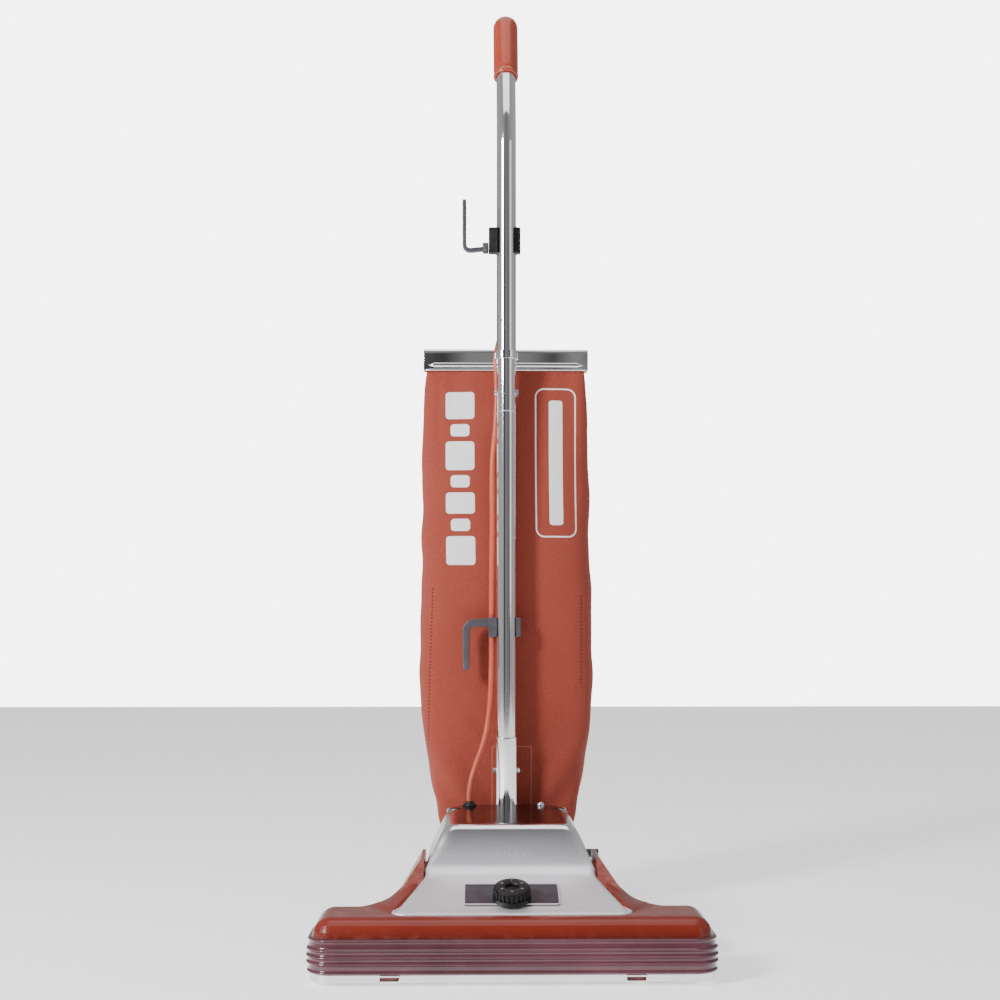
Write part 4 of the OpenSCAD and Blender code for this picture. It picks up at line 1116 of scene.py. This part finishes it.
def half_clip(name, z_low, z_high, tube_r, finish):
    """Clip around the back of the tube, with a block on the left and a lip on the right."""
    outline = [(-tube_r - 0.0104, -0.006), (-tube_r - 0.0104, 0.004), (-tube_r - 0.002, 0.004)]
    outline += [((tube_r + 0.0026) * math.cos(math.pi - a), (tube_r + 0.0026) * math.sin(math.pi - a))
                for a in (math.pi * (0.10 + 0.80 * k / 24) for k in range(25))]
    outline += [(tube_r + 0.002, 0.004), (tube_r + 0.0056, 0.004), (tube_r + 0.0056, -0.006),
                (tube_r - 0.0006, -0.006)]
    outline += [((tube_r + 0.0003) * math.cos(a), (tube_r + 0.0003) * math.sin(a))
                for a in (math.pi * (-0.09 + 1.18 * k / 36) for k in range(37))]
    outline += [(-tube_r + 0.0006, -0.006)]
    rings = []
    for z in (z_low, z_high):
        rings.append([Vector((x, TUBE_Y + y, z)) for x, y in outline])
    verts, faces = skin_rings(rings)
    piece = new_mesh(name, verts, faces, finish, "handle", smooth=False)
    bevel(piece, 0.0007, 3, 40)
    return piece


half_clip("lower_hook_clip", lower_high.z - 0.0255, lower_high.z, 0.013, "grey_plastic")
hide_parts("lower_cord_hook")
for name in ("upper_hook_collar", "height_knob", "switch_pedal", "release_pedal", "handle_fork",
             "handle_bolts", "handle_nuts", "bottom_plate", "plate_latch_left", "plate_latch_right",
             "nameplate",
             "cord_strain_relief", "bag_hanger", "plug_blades", "hood_screws"):
    bevel(NODES[name], 0.0005, 2, 40)

# J of the swivelling upper hook
hook_low, hook_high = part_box("upper_cord_hook")
upper_x, stub_x = hook_low.x + 0.0026, hook_high.x
rounded_bar("upper_hook_bar",
            bent([(stub_x, TUBE_Y, 0.8835), (upper_x, TUBE_Y, 0.8800),
                  (upper_x, TUBE_Y, hook_high.z - 0.0005)], [0.010]),
            0.0095, 0.0052, "grey_plastic", "hook", (0, 1, 0), 0.0016)
hub = lathe("upper_hook_hub", [(0.0001, 0), (0.0066, 0), (0.0072, 0.0006), (0.0072, 0.0070), (0.0066, 0.0078),
                               (0.0001, 0.0078)], "grey_plastic", "hook",
            Matrix.Translation((stub_x, TUBE_Y, 0.884)) @ Matrix.Rotation(math.radians(-90), 4, "Y"), 48)
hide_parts("upper_cord_hook")


# ---------------------------------------------------------------- strain relief

sleeve = [(0.0042, -0.0160), (0.0064, -0.0160), (0.0064, -0.0004), (0.0088, -0.0004), (0.0092, 0.0004),
          (0.0088, 0.0014)]
for k in range(3):
    t = k / 3
    r = 0.0070 - 0.0014 * t
    sleeve += [(r, 0.0018 + 0.0036 * t), (r, 0.0026 + 0.0036 * t), (r - 0.0006, 0.0027 + 0.0036 * t)]
sleeve += [(0.0049, 0.0056), (0.0042, 0.0058)]
sleeve_piece = lathe("cord_sleeve", [(r, z) for r, z in sleeve], "black_plastic", "base",
                     Matrix.Translation((-0.048, 0.092, 0.1562)), 48)
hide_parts("cord_strain_relief")


# ---------------------------------------------------------------- light and floor

def softbox(name, location, target, size, power, colour=(1, 1, 1)):
    data = bpy.data.lights.new(name, "AREA")
    data.shape = "RECTANGLE"
    data.size, data.size_y = size
    data.energy = power
    data.color = colour
    lamp = bpy.data.objects.new(name, data)
    lamp.location = location
    lamp.rotation_euler = (Vector(target) - Vector(location)).to_track_quat("-Z", "Y").to_euler()
    bpy.context.scene.collection.objects.link(lamp)


softbox("key", (-1.7, -1.5, 1.5), (0, 0.05, 0.5), (0.4, 0.8), 84)
softbox("fill", (1.7, -1.4, 1.1), (0, 0.05, 0.5), (0.8, 1.4), 3)
softbox("top", (0.0, -0.1, 2.5), (0, 0.0, 0.3), (1.6, 1.6), 14)

world = bpy.data.worlds.new("studio")
world.use_nodes = True
bpy.context.scene.world = world
tree = world.node_tree
background = tree.nodes["Background"]
seen = tree.nodes.new("ShaderNodeLightPath")
coords = tree.nodes.new("ShaderNodeTexCoord")
split = tree.nodes.new("ShaderNodeSeparateXYZ")
tree.links.new(coords.outputs["Generated"], split.inputs["Vector"])
angle = tree.nodes.new("ShaderNodeMath")
angle.operation = "ARCTAN2"
tree.links.new(split.outputs["X"], angle.inputs[0])
tree.links.new(split.outputs["Y"], angle.inputs[1])
turn = tree.nodes.new("ShaderNodeMapRange")
turn.inputs["From Min"].default_value = -math.pi
turn.inputs["From Max"].default_value = math.pi
tree.links.new(angle.outputs["Value"], turn.inputs["Value"])


def light_bands(stops):
    """Brightness around the set: 0 and 1 are behind the camera, 0.5 is behind the object."""
    node = tree.nodes.new("ShaderNodeValToRGB")
    tree.links.new(turn.outputs["Result"], node.inputs["Fac"])
    bar = node.color_ramp
    while len(bar.elements) < len(stops):
        bar.elements.new(0.5)
    for element, (place, level) in zip(bar.elements, stops):
        element.position = place
        element.color = (level, level, level, 1)
    return node.outputs["Color"]


# Level with the machine: softboxes with dark gaps between them. Above: an even pale ceiling
level_bands = light_bands([(0.0, 0.62), (0.030, 0.60), (0.050, 0.10), (0.075, 0.14), (0.11, 1.0),
                           (0.20, 1.1), (0.31, 1.2),
                           (0.36, 0.5), (0.405, 0.4), (0.44, 1.1), (0.56, 1.1), (0.60, 0.4), (0.645, 0.5),
                           (0.70, 1.0), (0.80, 1.0), (0.87, 0.9), (0.895, 0.22), (0.915, 0.2), (0.935, 0.75),
                           (0.955, 0.14), (0.975, 0.55), (1.0, 0.62)])
upper_bands = light_bands([(0.0, 0.42), (0.12, 0.8), (0.3, 1.1), (0.5, 1.0), (0.7, 1.1), (0.88, 0.8),
                           (1.0, 0.42)])
height = tree.nodes.new("ShaderNodeMapRange")
height.interpolation_type = "SMOOTHSTEP"
height.inputs["From Min"].default_value = 0.22
height.inputs["From Max"].default_value = 0.34
tree.links.new(split.outputs["Z"], height.inputs["Value"])
bands = tree.nodes.new("ShaderNodeMix")
bands.data_type = "RGBA"
tree.links.new(height.outputs["Result"], bands.inputs[0])
tree.links.new(level_bands, bands.inputs[6])
tree.links.new(upper_bands, bands.inputs[7])
shown = tree.nodes.new("ShaderNodeMix")
shown.data_type = "RGBA"
tree.links.new(seen.outputs["Is Camera Ray"], shown.inputs[0])
tree.links.new(bands.outputs[2], shown.inputs[6])
shown.inputs[7].default_value = (16, 16, 16, 1)
tree.links.new(shown.outputs[2], background.inputs["Color"])
background.inputs["Strength"].default_value = 0.37

floor_data = bpy.data.meshes.new("floor")
count, size = 24, 9.0
floor_data.from_pydata(
    [((i / count - 0.5) * size, (j / count - 0.5) * size + 1.0, -0.0002) for j in range(count + 1)
     for i in range(count + 1)], [],
    [(j * (count + 1) + i, j * (count + 1) + i + 1, (j + 1) * (count + 1) + i + 1, (j + 1) * (count + 1) + i)
     for j in range(count) for i in range(count)])
floor_data.materials.append(floor_finish())
floor = bpy.data.objects.new("floor", floor_data)
bpy.context.scene.collection.objects.link(floor)
